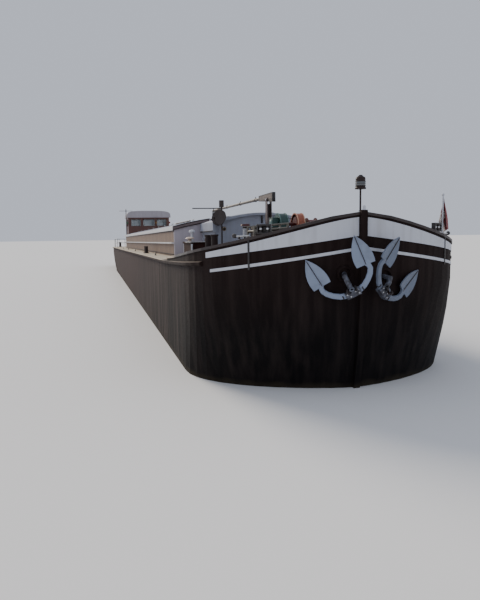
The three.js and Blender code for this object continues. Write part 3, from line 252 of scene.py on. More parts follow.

# %% [markdown]
# The hull needs more than a plain paint: darker towards the water, a band of old growth and dirt
# below the waterline, upright streaks along the side, a brown foredeck, and pale side decks whose
# paleness is a painted highlight of the sun shining on them.


# %% Paint for the hull and the bulwark
def hull_material():
    recipe = Recipe("hull_paint")
    x, y, z = recipe.parts()
    streak = recipe.ramp(recipe.noise(1.0, (7, 7, 0.35), 6), 0.42, 0.72)
    streak = recipe.times(streak, recipe.ramp(x, aft(1.6), aft(4.5), 0.25, 1.0))
    patch = recipe.ramp(recipe.noise(0.7), 0.4, 0.7)
    low = recipe.ramp(z, 1.4, 2.7)
    side = recipe.mix(low, (0.0042, 0.0036, 0.0040), (0.0155, 0.0085, 0.0078))
    side = recipe.mix(recipe.times(streak, 0.8), side, (0.078, 0.056, 0.050))
    side = recipe.mix(recipe.times(patch, 0.35), side, (0.010, 0.008, 0.008))
    side = recipe.mix(recipe.ramp(x, aft(4), aft(16), 0.0, 0.75), side, (0.040, 0.022, 0.021))
    water = recipe.math("SUBTRACT", BOW_DRAUGHT + TRIM * STEM, recipe.times(x, TRIM))
    above = recipe.math("SUBTRACT", z, water)
    growth = recipe.math("ADD", above, recipe.times(recipe.noise(3.0), -0.16))
    side = recipe.mix(recipe.ramp(growth, 0.03, -0.06), side, (0.030, 0.024, 0.016))
    facing = recipe.add("ShaderNodeSeparateXYZ")
    recipe.feed(facing.inputs[0], recipe.add("ShaderNodeNewGeometry").outputs["Normal"])
    level = recipe.math("MAXIMUM", recipe.ramp(x, aft(4.5), aft(4.8)), recipe.ramp(z, 2.602, 2.606))
    on_top = recipe.times(recipe.ramp(facing.outputs[2], 0.6, 0.8), recipe.ramp(z, 2.5, 2.55))
    on_top = recipe.times(on_top, level)
    wear = recipe.ramp(recipe.noise(2.2), 0.35, 0.7)
    deck = recipe.mix(wear, (0.115, 0.085, 0.070), (0.060, 0.047, 0.042))
    # Painted highlight: the side decks are pale where the sun shines on them.
    side_deck = recipe.mix(wear, (0.52, 0.46, 0.36), (0.34, 0.29, 0.23))
    deck = recipe.mix(recipe.ramp(x, aft(4.6), aft(5.4)), deck, side_deck)
    grain = recipe.noise(45)
    rough = recipe.ramp(grain, 0.3, 0.7, 0.58, 0.78)
    recipe.shader.inputs["Specular IOR Level"].default_value = 0.08
    return recipe.finish(recipe.mix(on_top, side, deck), rough, recipe.noise(2.5, (1, 1, 1), 8), depth=0.02)


hull_paint = hull_material()

# %% [markdown]
# Brown boards: the joints run upright every 20 centimetres, each board has its own tone, and the
# grain is a noise stretched along the board. The ledge that caps the lower boards is white.


# %% Boards for the hold's sides
def board_material(name, ledge):
    recipe = Recipe(name)
    x, y, z = recipe.parts()
    along = recipe.math("DIVIDE", x, 0.2)
    joint = recipe.ramp(recipe.math("PINGPONG", along, 0.5), 0.03, 0.06)
    tone = recipe.add("ShaderNodeTexWhiteNoise", noise_dimensions="1D")
    recipe.feed(tone.inputs["W"], recipe.math("FLOOR", along))
    fibre = recipe.noise(1.0, (40, 40, 2.5), 5)
    wood = recipe.mix(tone.outputs[0], (0.150, 0.082, 0.044), (0.220, 0.125, 0.068))
    wood = recipe.mix(recipe.ramp(fibre, 0.4, 0.7), wood, (0.085, 0.048, 0.032))
    wood = recipe.mix(joint, (0.020, 0.013, 0.010), wood)
    paint = recipe.mottled(3.0, (0.56, 0.56, 0.58), (0.32, 0.29, 0.26), 0.45, 0.8)
    colour = recipe.mix(recipe.ramp(z, ledge - 0.002, ledge + 0.002), wood, paint)
    height = recipe.math("ADD", joint, recipe.times(fibre, 0.3))
    return recipe.finish(colour, 0.6, height, depth=0.006)


LEDGE, NO_LEDGE = 2.93, 9.0
coaming_boards = board_material("coaming_boards", LEDGE)
upper_boards = board_material("upper_boards", NO_LEDGE)

# %% [markdown]
# Clear window glass: nearly smooth, and it lets the light through. Thin panes read better with a
# simple transparent share than with full refraction.


# %% Window glass
def glass_material():
    recipe = Recipe("window_glass")
    shade = recipe.mottled(4.0, (0.22, 0.26, 0.28), (0.30, 0.33, 0.34))
    recipe.feed(recipe.shader.inputs["Base Color"], shade)
    recipe.shader.inputs["Roughness"].default_value = 0.06
    recipe.shader.inputs["Alpha"].default_value = 0.45
    return recipe.material


window_glass = glass_material()

# %% Give each solid its finish
FINISHES = {
    hull_paint: ("hull", "bow_bulwark", "rudder", "stem_bar", "rubbing_strake_*", "hawse_pipe_*"),
    trim_brown: ("bitts_*", "bow_staff", "bow_lantern"),
    shaded_white_paint: ("flagstaff", "engine_casing"),
    house_white_shaded: ("deckhouse_*",),
    bulkhead_shade_reflection: ("hold_bulkhead_fore",),
    coaming_boards: ("hold_coaming_*",),
    upper_boards: ("hold_side_*", "hold_bulkhead_aft"),
    green_paint: ("windlass_frame", "windlass_hood_starboard", "engine"),
    orange_paint: ("windlass_hood_port",),
    dark_red: ("windlass_shaft",),
    bronze: ("propeller",),
    house_red: ("wheelhouse_walls", "wheelhouse_door_*", "steering_wheel", "helm_console",
                "engine_hatch"),
    roof_grey: ("wheelhouse_roof",),
    grey_paint: ("stern_rail",),
    window_glass: ("wheelhouse_glass_*",),
}


def named(pattern):
    """The nodes with a name, or with names that start as it does before a star."""
    start = pattern.rstrip("*")
    return [name for name in nodes if name == start or ("*" in pattern and name.startswith(start))]


def dress(pattern, material):
    """Gives the objects of some nodes one material."""
    for name in named(pattern):
        mesh = nodes[name].data
        mesh.materials.clear()
        mesh.materials.append(material)


for material, patterns in FINISHES.items():
    for pattern in patterns:
        dress(pattern, material)
print("plain finishes:", len(FINISHES), "on", sum(len(p) for p in FINISHES.values()), "kinds of part")

# %% [markdown]
# ## Modelling by hand
# An operator works on whatever is selected, so each helper starts from an empty selection. The
# first ones do what a modeller does all day: pick one thing, apply its place to its mesh, and
# hand over a finished piece with its name, paint and the body that carries it.


# %% Helpers: pick, apply, finish
def only(*objects):
    """Selects these objects and nothing else; the last one is active."""
    if bpy.context.mode != "OBJECT":
        bpy.ops.object.mode_set(mode="OBJECT")
    bpy.ops.object.select_all(action="DESELECT")
    for ob in objects:
        ob.select_set(True)
        bpy.context.view_layer.objects.active = ob


def applied(ob, matrix=None):
    """Puts an object at a place and makes that place part of its mesh."""
    only(ob)
    if matrix is not None:
        ob.matrix_world = matrix
    bpy.ops.object.transform_apply(location=True, rotation=True, scale=True)
    return ob


def modified(ob, kind, **settings):
    """Adds a modifier and applies it at once."""
    only(ob)
    modifier = ob.modifiers.new(kind.lower(), kind)
    for key, value in settings.items():
        setattr(modifier, key, value)
    bpy.ops.object.modifier_apply(modifier=modifier.name)
    return ob


def outward(ob):
    """Merges doubles and turns all faces outwards."""
    only(ob)
    bpy.ops.object.mode_set(mode="EDIT")
    bpy.ops.mesh.select_all(action="SELECT")
    bpy.ops.mesh.remove_doubles(threshold=0.00005)
    bpy.ops.mesh.normals_make_consistent(inside=False)
    bpy.ops.object.mode_set(mode="OBJECT")
    return ob


def painted(ob, material):
    ob.data.materials.clear()
    ob.data.materials.append(material)
    return ob


def joined(*parts):
    only(*parts)
    if len(parts) > 1:
        bpy.ops.object.join()
    return bpy.context.view_layer.objects.active


pieces = []


def piece(name, slot, *parts, body="boat", angle=35):
    """Joins parts into one finished piece: named, shaded and carried by a body."""
    ob = applied(joined(*parts))
    ob.name = ob.data.name = name
    bpy.ops.object.shade_smooth_by_angle(angle=math.radians(angle))
    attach(ob, body)
    pieces.append(ob)
    print(name, "has", len(ob.data.polygons), "faces")
    return ob


# %% [markdown]
# Three starts cover nearly every fitting on a boat: a bar from a cube with softened edges, a
# turning from a circle that is extruded and scaled ring by ring, and a pipe that follows a line.


# %% Helpers: bar, turning, pipe
def bar(low, high, material, edge=0.004):
    """A bar between two corners, with bevelled edges."""
    only()
    middle = [(a + b) / 2 for a, b in zip(low, high)]
    bpy.ops.mesh.primitive_cube_add(size=1, location=middle)
    ob = bpy.context.object
    ob.scale = [abs(b - a) for a, b in zip(low, high)]
    applied(ob)
    modified(ob, "BEVEL", width=edge, segments=2)
    return painted(ob, material)


def stood(ob, at, toward):
    """Puts a part that was made upright at a place, with its top toward a direction."""
    turned = Vector(toward).to_track_quat("Z", "Y").to_matrix().to_4x4()
    return applied(ob, Matrix.Translation(at) @ turned)


def turning(at, profile, material, toward=(0, 0, 1), sides=20):
    """A turned piece: rings of (radius, height) from a point toward a direction."""
    only()
    (radius, height), *rest = profile
    bpy.ops.mesh.primitive_circle_add(
        vertices=sides, radius=radius, fill_type="NGON", location=(0, 0, height))
    ob = applied(bpy.context.object)
    bpy.ops.object.mode_set(mode="EDIT")
    bpy.ops.mesh.select_all(action="SELECT")
    for next_radius, next_height in rest:
        bpy.ops.mesh.extrude_region_move(TRANSFORM_OT_translate={"value": (0, 0, next_height - height)})
        ratio = next_radius / radius
        bpy.ops.transform.resize(value=(ratio, ratio, 1), center_override=(0, 0, next_height))
        radius, height = next_radius, next_height
    return painted(stood(outward(ob), at, toward), material)


def pipe(points, radius, material, bends="VECTOR", rings=2):
    """A round bar along points, drawn as a curve and turned into a mesh."""
    only()
    bpy.ops.curve.primitive_bezier_curve_add()
    curve = bpy.context.object
    curve.matrix_world = Matrix()
    spline = curve.data.splines[0]
    spline.bezier_points.add(len(points) - 2)
    for knot, place in zip(spline.bezier_points, points):
        knot.handle_left_type = knot.handle_right_type = bends
        knot.co = place
    curve.data.dimensions = "3D"
    curve.data.resolution_u = 6 if bends == "AUTO" else 1
    curve.data.bevel_depth = radius
    curve.data.bevel_resolution = rings
    curve.data.use_fill_caps = True
    bpy.ops.object.convert(target="MESH")
    return painted(outward(bpy.context.object), material)


def copies(ob, *shifts):
    """Copies of a part, each moved by a shift and with its own mesh."""
    made = []
    for shift in shifts:
        only(ob)
        bpy.ops.object.duplicate_move(TRANSFORM_OT_translate={"value": shift})
        made.append(applied(bpy.context.object))
    return made


def mirrored(ob):
    """A copy on the other side of the boat."""
    only(ob)
    bpy.ops.object.duplicate()
    twin = bpy.context.object
    twin.scale.y = -1
    return outward(applied(twin))


def both_sides(name, slot, *parts, **more):
    """Two finished pieces: one as made, on the starboard side, and its mirror image."""
    one = joined(*parts)
    twin = mirrored(one)
    return piece(f"{name}_starboard", slot, one, **more), piece(f"{name}_port", slot, twin, **more)


# %% [markdown]
# A ribbon starts as one edge. It is extruded from station to station, and after each step the
# new edge is scaled to the ribbon's width there. Solidify then gives it thickness. Trim that
# follows a curve, from the bow's panels to the battens over the roof, is made this way.


# %% Helper: ribbon through stations
def ribbon(stations, thick, material):
    """A strip through (middle, half width as a vector) stations."""
    only()
    bpy.ops.mesh.primitive_plane_add(size=2)
    ob = bpy.context.object
    bpy.ops.object.mode_set(mode="EDIT")
    bpy.ops.mesh.select_all(action="DESELECT")
    bpy.ops.object.mode_set(mode="OBJECT")
    for corner in ob.data.vertices:
        corner.select = corner.co.y > 0
    bpy.ops.object.mode_set(mode="EDIT")
    bpy.ops.mesh.delete(type="VERT")
    bpy.ops.mesh.select_all(action="SELECT")
    bpy.ops.transform.translate(value=(0, 1, 0))
    bpy.ops.object.mode_set(mode="OBJECT")
    middle, half = (Vector(v) for v in stations[0])
    turn = half.to_track_quat("X", "Y").to_matrix().to_4x4()
    applied(ob, Matrix.Translation(middle) @ turn @ Matrix.Scale(half.length, 4))
    bpy.ops.object.mode_set(mode="EDIT")
    bpy.ops.mesh.select_all(action="SELECT")
    for next_middle, next_half in stations[1:]:
        bpy.ops.mesh.extrude_region_move(
            TRANSFORM_OT_translate={"value": Vector(next_middle) - middle})
        ratio = Vector(next_half).length / half.length
        bpy.ops.transform.resize(value=(ratio, ratio, ratio), center_override=next_middle)
        middle, half = Vector(next_middle), Vector(next_half)
    bpy.ops.object.mode_set(mode="OBJECT")
    modified(ob, "SOLIDIFY", thickness=thick, offset=0)
    return painted(outward(ob), material)


# %% [markdown]
# ## The bow's outline
# The name panels and the stripe wrap round the bow, so they need its plan shape. The bow is a
# blunt oval: at each step of a quarter turn a cosine gives how far aft and a sine gives how wide,
# both raised to a power that makes the oval fuller than an ellipse.

# %% Outline points with a small stand-off
HALF_BEAM, BOW_LENGTH, FULL_ALONG, FULL_ACROSS, BOW_STEPS = 2.47, 2.08, 2.48, 2.5, 12


def bow_points(stand_off):
    """Points round the starboard bow, from the stem aft, a little outside the plating."""
    ring = []
    for step in range(BOW_STEPS + 1):
        turn = step / BOW_STEPS * math.pi / 2
        back = BOW_LENGTH * (1 - max(0.0, math.cos(turn)) ** (2 / FULL_ALONG))
        ring.append(Vector((aft(back), -HALF_BEAM * math.sin(turn) ** (2 / FULL_ACROSS))))
    edges = [(b - a).normalized() for a, b in zip(ring, ring[1:])]
    moved = []
    for i, spot in enumerate(ring):
        before, after = edges[max(0, i - 1)], edges[min(i, len(edges) - 1)]
        if i == 0:
            before = Vector((-after.x, after.y))
        out = Vector((-(before + after).y, (before + after).x)).normalized()
        moved.append(spot + out * stand_off)
    return moved


def reach(spot):
    """Distance of a point in plan from the stem."""
    return math.hypot(STEM - spot.x, spot.y)


def bow_stations(start, end, low, high, stand_off, steps=5):
    """Ribbon stations round the bow between two distances off the stem."""
    ring = bow_points(stand_off)
    places = [a.lerp(b, k / steps) for a, b in zip(ring, ring[1:]) for k in range(steps)]
    chosen = [places[0].lerp(places[1], start / reach(places[1]))]
    chosen += [spot for spot in places if start < reach(spot) < end]
    made = []
    for spot in chosen:
        bottom, top = low(reach(spot)), high(reach(spot))
        made.append(((spot.x, spot.y, (bottom + top) / 2), (0, 0, (top - bottom) / 2)))
    return made


def rail_height(distance):
    """Top of the bow's plating at a distance off the stem, as the frame has it."""
    return 2.603 + 0.782 * math.exp(-((distance / 2.35) ** 1.5))


print("bow outline reaches", round(bow_points(0)[-1].y, 2), "m off the centre line")

# %% [markdown]
# ## Name panels and stripe
# The bow carries a blank white panel on each side of the stem. It follows the rail above and
# narrows aft. Under it runs a thin white stripe. Both are painted boards a few millimetres thick,
# so they are real ribbons and not a mask in the hull's paint.

# %% Make the panels and stripes
BAR_EDGE, PANEL_END, STRIPE_END = 0.066, 2.5, 2.45

panel = bow_stations(BAR_EDGE, PANEL_END, lambda r: 3.062 - 0.131 * r, lambda r: rail_height(r) - 0.040,
                     0.005)
both_sides("name_panel", "white", ribbon(panel, 0.006, shaded_white_paint))
stripe = bow_stations(BAR_EDGE, STRIPE_END, lambda r: 2.844 - 0.14 * r, lambda r: 2.892 - 0.14 * r,
                      0.0045)
both_sides("bow_stripe", "white", ribbon(stripe, 0.005, shaded_white_paint))

# %% [markdown]
# ## Flag
# A small limp flag hangs from the staff on the port bow. A flag's creases come from its own
# weight, so it is a cloth simulation: a flat grid pinned along the hoist falls and is kept as it
# comes to rest. The upper two thirds are red and the rest is white.


# %% Flag cloth
def flag_material():
    recipe = Recipe("flag_cloth")
    spread = recipe.add("ShaderNodeUVMap").outputs[0]
    split = recipe.add("ShaderNodeSeparateXYZ")
    recipe.feed(split.inputs[0], spread)
    fade = recipe.ramp(recipe.noise(9.0), 0.35, 0.7)
    red = recipe.mix(fade, (0.22, 0.012, 0.018), (0.14, 0.012, 0.016))
    white = recipe.mix(fade, (0.66, 0.60, 0.54), (0.50, 0.44, 0.40))
    weave = recipe.add("ShaderNodeTexWave", bands_direction="DIAGONAL")
    recipe.feed(weave.inputs["Vector"], spread)
    weave.inputs["Scale"].default_value = 90
    lower = recipe.ramp(split.outputs[1], 0.335, 0.345)
    recipe.shader.inputs["Sheen Weight"].default_value = 0.3
    return recipe.finish(recipe.mix(lower, white, red), 0.85, weave.outputs[1], depth=0.0006)


# %% Hang the flag
FLAG_BACK, FLAG_OFF, FLAG_TOP = 1.4, 2.365, 3.76
HOIST, FLY, STAFF_GAP, SIMULATED_STEPS = 0.40, 0.55, 0.018, 120

only()
bpy.ops.mesh.primitive_grid_add(x_subdivisions=28, y_subdivisions=20, size=1)
flag = bpy.context.object
lay_out = Matrix(((0, 0, 1, aft(FLAG_BACK)), (FLY, 0, 0, FLAG_OFF + STAFF_GAP + FLY / 2),
                  (0, HOIST, 0, FLAG_TOP - HOIST / 2), (0, 0, 0, 1)))
applied(flag, lay_out)
for point in flag.data.vertices:
    out = point.co.y - FLAG_OFF - STAFF_GAP
    point.co.x += 0.035 * out / FLY * math.sin(out * 34 + point.co.z * 9)
    point.co.y = FLAG_OFF + STAFF_GAP + out * 0.985
hoist = flag.vertex_groups.new(name="hoist")
hoist.add([v.index for v in flag.data.vertices if v.co.y < FLAG_OFF + 0.02], 1.0, "REPLACE")
only(flag)
cloth = flag.modifiers.new("cloth", "CLOTH")
cloth.settings.quality = 8
cloth.settings.mass = 0.12
cloth.settings.tension_stiffness = cloth.settings.compression_stiffness = 40
cloth.settings.bending_stiffness = 0.09
cloth.settings.air_damping = 8
cloth.settings.vertex_group_mass = "hoist"
for step in range(1, SIMULATED_STEPS + 1):
    bpy.context.scene.frame_set(step)
bpy.ops.object.modifier_apply(modifier=cloth.name)
bpy.context.scene.frame_set(1)
modified(flag, "SOLIDIFY", thickness=0.0015, offset=0)
modified(flag, "SUBSURF", levels=1, render_levels=1)
painted(flag, flag_material())
piece("flag_cloth", "cloth", flag, angle=60)
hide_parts("flag")
print("flag hangs down to", round(min(v.co.z for v in flag.data.vertices), 2), "m")

# %% [markdown]
# ## Anchors
# Each anchor is a pair of curved arms with a pointed palm at each end, held by its shank in the
# hawse pipe. The solids give those; a rib down the middle of each palm, dark as a painted shadow
# line, the crown's pin and a cluster of shackles are added here. They are made upright, as on a
# bench, and then turned into the anchor's own place, which leans a different way on each side.


# %% Where each anchor's crown is and how it leans
ANCHOR_TURN, ANCHOR_TILT = math.radians(22.8), math.radians(7.9)
CROWN_AHEAD, CROWN_OFF, CROWN_UP = 0.190, 0.228, 2.157


def anchor_place(side, lean):
    spin = Matrix.Rotation(side * ANCHOR_TURN, 4, "Z") @ Matrix.Rotation(ANCHOR_TILT, 4, "Y")
    spin = spin @ Matrix.Rotation(math.radians(-side * lean), 4, "X")
    return Matrix.Translation((STEM + CROWN_AHEAD, side * CROWN_OFF, CROWN_UP)) @ spin


# %% Paint for the anchors
# The anchors' arms and palms are white paint; this blue-grey is painted shade.
ANCHOR_SHADED_WHITE, ANCHOR_DIRT = (0.235, 0.285, 0.390), (0.130, 0.140, 0.175)


def anchor_material(name, place, shade):
    """Arms and palms are white, shown blue-grey as painted shade; crown and shank are bare and dark. The
    port anchor's paint is darker.
    """
    recipe = Recipe(name)
    across = place.col[1].to_3d().normalized()
    along = recipe.add("ShaderNodeVectorMath", operation="DOT_PRODUCT")
    recipe.feed(along.inputs[0], recipe.place)
    along.inputs[1].default_value = across
    off = recipe.math("SUBTRACT", along.outputs["Value"], across.dot(place.to_translation()))
    worn = recipe.math("ADD", recipe.math("ABSOLUTE", off), recipe.times(recipe.noise(14.0), 0.05))
    palm_shade_colour, dirt = (tuple(shade * c for c in colour) for colour in (ANCHOR_SHADED_WHITE, ANCHOR_DIRT))
    paint = recipe.mix(recipe.ramp(recipe.noise(5.0), 0.5, 0.72, 0, 0.5), palm_shade_colour, dirt)
    bare = recipe.mottled(18.0, (0.030, 0.030, 0.038), (0.105, 0.115, 0.150), 0.4, 0.65)
    return recipe.grained(recipe.mix(recipe.ramp(worn, 0.135, 0.165), bare, paint), (0.45, 0.65))


dark_steel = weathered("dark_steel", (0.035, 0.032, 0.034), (0.075, 0.045, 0.035),
                       0.4, 0.6, (0.35, 0.55), 0.5)
bright_steel = weathered("bright_steel", (0.52, 0.53, 0.55), (0.22, 0.20, 0.19),
                         0.3, 0.5, (0.25, 0.45), 0.9)
grey_steel = weathered("grey_steel", (0.20, 0.22, 0.27), (0.09, 0.09, 0.10), 0.4, 0.5, (0.3, 0.5), 0.6)


# %% Ribs and rings
def palm_rib_painted_shadow(hand):
    """A thin rib up the valley of one palm, dark as a painted shadow line along the valley."""
    rows = ((0.0, 0.006), (0.30, 0.006), (0.455, 0.003))
    rib = ribbon([((0, 0, up), (half, 0, 0)) for up, half in rows], 0.011, dark_steel)
    lean = Matrix.Rotation(-hand * math.radians(4.6), 4, "X")
    return applied(rib, Matrix.Translation((0.0215, hand * 0.363, 0.349)) @ lean)


def ring(at, big, small, toward, material, stretch=1.0, sides=14):
    """A chain link or ring: a torus, drawn out lengthwise for a link."""
    only()
    bpy.ops.mesh.primitive_torus_add(
        major_radius=big, minor_radius=small, major_segments=sides, minor_segments=8)
    link = bpy.context.object
    link.scale.x = stretch
    return painted(stood(applied(link), at, toward), material)


# %% Dress the anchors
PIN_END = [(0.030, 0), (0.044, 0.006), (0.044, 0.020), (0.020, 0.026)]
BOLT_END = [(0.013, 0), (0.013, 0.010), (0.007, 0.014)]
SHACKLES = (
    ((0.062, -0.045, 0.100), 0.036, 0.011, (0.5, 0.8, 0.2), dark_steel, 1.25),
    ((0.070, 0.012, 0.112), 0.028, 0.010, (0.6, 0.4, 0.8), grey_steel, 1.3),
    ((0.062, 0.066, 0.102), 0.034, 0.011, (0.4, -0.8, 0.3), dark_steel, 1.25),
    ((0.058, 0.105, 0.082), 0.024, 0.009, (0.3, 0.9, 0.2), grey_steel, 1.3),
)


def anchor_gear():
    """Everything that dresses one anchor, built round its crown at the origin."""
    pins = [turning((0, hand * 0.150, 0.048), PIN_END, dark_steel, (0, hand, 0), 6)
            for hand in (-1, 1)]
    bolts = [turning((0.046, y, z), BOLT_END, bright_steel, (1, 0, 0), 8)
             for y, z in ((-0.088, 0.060), (-0.048, 0.012), (0.048, 0.060), (0.088, 0.012))]
    clamp = bar((0.020, -0.060, 0.088), (0.070, 0.060, 0.112), dark_steel, 0.006)
    return joined(palm_rib_painted_shadow(-1), palm_rib_painted_shadow(1), *pins, clamp, *bolts, *(ring(*row) for row in SHACKLES))


for name, side, lean, shade in (("starboard", -1, 27.3, 1.0), ("port", 1, 42.1, 0.62)):
    place = anchor_place(side, lean)
    dress(f"anchor_{name}", anchor_material(f"anchor_{name}_paint", place, shade))
    piece(f"anchor_gear_{name}", "steel", applied(anchor_gear(), place))

# %% [markdown]
# ## Fairleads and cleats on the rail
# Mooring lines leave the bow through roller fairleads that stand on the rail cap. Each has a base,
# two rollers and a bridge over them. Nearer the side a horn cleat with a knob takes a light line.
# Both turn with the rail, so they are built along X and turned to the bow's tangent there.


# %% Paint for the rail cap
def cap_material():
    """Dark brown, turning light aft where the rail is low: partly wear, partly a painted sunlit highlight.
    """
    recipe = Recipe("cap_paint")
    x, y, z = recipe.parts()
    # Light aft: wear together with a painted highlight where the sun catches the cap's top.
    worn = recipe.ramp(x, aft(2.9), aft(3.6), 0.0, 0.9)
    brown = recipe.mottled(5.0, (0.034, 0.021, 0.020), (0.016, 0.011, 0.011))
    bare = recipe.mottled(9.0, (0.52, 0.42, 0.30), (0.30, 0.22, 0.15))
    return recipe.grained(recipe.mix(worn, brown, bare), (0.35, 0.55), scale=50)


dress("bulwark_cap", cap_material())
trim_black = weathered("trim_black", (0.020, 0.018, 0.020), (0.050, 0.036, 0.032), 0.4, 0.5, (0.35, 0.55))


# %% Where things stand on the cap
CAP_HIGH = 0.045


def cap_place(distance):
    """A frame on top of the starboard rail cap: x along the rail, z up."""
    outline = bow_points(0)
    for before, after in zip(outline, outline[1:]):
        if reach(after) >= distance:
            share = (distance - reach(before)) / (reach(after) - reach(before))
            spot = before.lerp(after, share)
            tangent = (after - before).normalized()
            break
    turn = Matrix.Rotation(math.atan2(tangent.y, tangent.x), 4, "Z")
    return Matrix.Translation((spot.x, spot.y, rail_height(distance) + CAP_HIGH)) @ turn


print("rail cap beside the stem:", round(rail_height(0) + CAP_HIGH, 3), "m")

# %% A roller fairlead and a cleat
ROLLER = [(0.036, 0), (0.036, 0.012), (0.025, 0.026), (0.025, 0.080), (0.036, 0.094), (0.036, 0.104)]
COLLAR = [(0.026, 0), (0.028, 0.004), (0.028, 0.024), (0.026, 0.028)]
KNOB = [(0.016, -0.034), (0.030, -0.024), (0.036, 0), (0.030, 0.024), (0.014, 0.036)]


def roller_fairlead():
    base = bar((-0.115, -0.046, 0), (0.115, 0.046, 0.018), trim_black)
    roller = joined(turning((-0.055, 0, 0.018), ROLLER, dark_steel, sides=16),
                    turning((-0.055, 0, 0.062), COLLAR, bright_steel, sides=16))
    ends = [bar((x - 0.012, -0.034, 0.010), (x + 0.012, 0.034, 0.126), trim_black)
            for x in (-0.101, 0.101)]
    bridge = bar((-0.113, -0.036, 0.122), (0.113, 0.036, 0.146), trim_black, 0.006)
    back = bar((-0.100, -0.040, 0.010), (0.100, -0.036, 0.124), trim_black, 0.001)
    return joined(base, bridge, back, roller, *ends, *copies(roller, (0.110, 0, 0)))


def cleat(leg, leg_off, horn, radius, material):
    """Two turned legs under a horn whose line is given as (along, up) points."""
    legs = [turning((x, 0, 0), leg, dark_steel, sides=12) for x in (-leg_off, leg_off)]
    return joined(*legs, pipe([(x, 0, z) for x, z in horn], radius, material))


# %% Make the fairleads, cleats, straps and the stem head light
CAP_MIDDLE = Matrix.Translation((0, -0.0275, 0))
RAIL_HORN = ((-0.125, 0.052), (-0.06, 0.046), (0.06, 0.046), (0.125, 0.052))
HEAD_LIGHT = [(0.030, 0), (0.030, 0.010), (0.024, 0.014), (0.024, 0.056), (0.014, 0.068)]

both_sides("fairlead", "black", applied(roller_fairlead(), cap_place(1.54) @ CAP_MIDDLE))
rail_cleat = joined(
    cleat([(0.024, 0), (0.018, 0.010), (0.014, 0.040)], 0.045, RAIL_HORN, 0.014, bright_steel),
    turning((0.125, 0, 0.052), KNOB, trim_black, (1, 0, 0), 16))
both_sides("rail_cleat", "steel", applied(rail_cleat, cap_place(1.88) @ CAP_MIDDLE))
stem_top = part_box("stem_bar")[1][2]
head_light = turning((STEM + 0.030, 0.006, stem_top), HEAD_LIGHT, shaded_white_paint, sides=16)
piece("stem_head_light", "white", head_light)
strap = bar((-0.016, -0.002, -0.50), (0.016, 0.018, -0.040), trim_black, 0.006)
both_sides("bow_strap", "black", applied(strap, cap_place(1.77)))

# %% [markdown]
# ## Bulwark stays
# A bulwark is thin plate, so upright stays brace it from inside the deck. Each is a triangular
# knee: a board from a cube whose inner top edge is moved out until only a slope is left.


# %% Stays round the inside of the bow
STAY_OFF, STAY_DEPTH = 0.040, 0.42


def deck_height(x):
    """Height of the foredeck, which rises towards the stem."""
    return DECK + 0.130 * max(0.0, 1 - (STEM - x) / 4.4) ** 1.5


def stay_at(distance):
    place = cap_place(distance)
    height = rail_height(distance) - deck_height(place.to_translation().x)
    depth = STAY_DEPTH * height
    knee = bar((-0.007, -STAY_OFF - depth, -height), (0.007, -STAY_OFF, 0), trim_brown, 0.002)
    for corner in knee.data.vertices:
        if corner.co.z > -height / 2 and corner.co.y < -STAY_OFF - 0.2 * height:
            corner.co.y += 0.86 * depth
    return applied(knee, place @ Matrix.Translation((0, 0, -0.047)))


both_sides("bulwark_stays", "dark_brown", *(stay_at(distance) for distance in (0.55, 1.15, 1.85, 2.55)))

# %% [markdown]
# ## Windlass
# The anchor windlass has a green gear case and hood to starboard and an orange hood to port. The
# hoods are thin sheet, so each gets a rolled rim, painted lighter than its hood as a painted
# highlight where the sun catches it, and the orange hood is dark red inside. A crank fits the gear
# case, a lever works the band brake, and lugs round the chain wheel grip the links.

# %% Hood rims and lining
WINCH_X, WINCH_AXIS, WINCH_BED, HOOD_RADIUS = aft(2.9), 3.320, 2.700, 0.215
# The rims are painted lighter than their hoods: a painted highlight where the sun catches them. The case's
# cover plate has the same pale green.
pale_green_highlight = weathered("pale_green_highlight", (0.100, 0.190, 0.175), (0.04, 0.07, 0.06), 0.4, 0.4, (0.25, 0.45))
orange_rim_highlight = weathered("orange_rim_highlight", (0.700, 0.400, 0.270), (0.25, 0.10, 0.06), 0.4, 0.4, (0.25, 0.45))


def hoop(y, width, radius, material, thick=0.010, steps=18):
    """A flat band bent over a hood, from one side of the axis to the other."""
    stations = []
    for step in range(steps + 1):
        angle = math.pi * step / steps
        spot = (WINCH_X + radius * math.cos(angle), y, WINCH_AXIS + radius * math.sin(angle))
        stations.append((spot, (0, width / 2, 0)))
    return ribbon(stations, thick, material)


for name, edges, rim_paint, slot in (("starboard", (-0.412, -0.258), pale_green_highlight, "green"),
                                     ("port", (-0.045, 0.095), orange_rim_highlight, "orange")):
    rims = [hoop(y, 0.018, HOOD_RADIUS + 0.0055, rim_paint) for y in edges]
    piece(f"windlass_hood_trim_{name}", slot, *rims)
piece("windlass_hood_lining", "orange", hoop(0.018, 0.136, 0.190, dark_red, 0.004, 15))


# %% Bolts, made once and copied
def bolt_row(points, radius, material, toward=(0, 0, 1)):
    """Hexagon bolt heads with washers at points, made once and copied."""
    first = points[0]
    shape = ((1.5, 0), (1.5, 0.25), (1, 0.3), (1, 1), (0.8, 1.15))
    head = turning(first, [(radius * r, radius * h) for r, h in shape], material, toward, sides=6)
    shifts = [tuple(b - a for a, b in zip(first, point)) for point in points[1:]]
    return joined(head, *copies(head, *shifts))


def circle(count, radius, start=0):
    """Points evenly round a circle, as (across, up) pairs."""
    angles = [math.radians(start + 360 / count * k) for k in range(count)]
    return [(radius * math.cos(a), radius * math.sin(a)) for a in angles]


# %% Crank stub, cover plate, brake lever and bolts
CASE_FACE, BRAKE_Y = -0.550, 0.190
STUB = [(0.045, -0.002), (0.045, 0.020), (0.020, 0.026), (0.020, 0.050)]
PLATE = [(0.082, -0.002), (0.082, 0.008), (0.050, 0.014), (0.036, 0.022)]
GRIP = [(0.018, 0), (0.021, 0.02), (0.021, 0.09), (0.012, 0.11)]

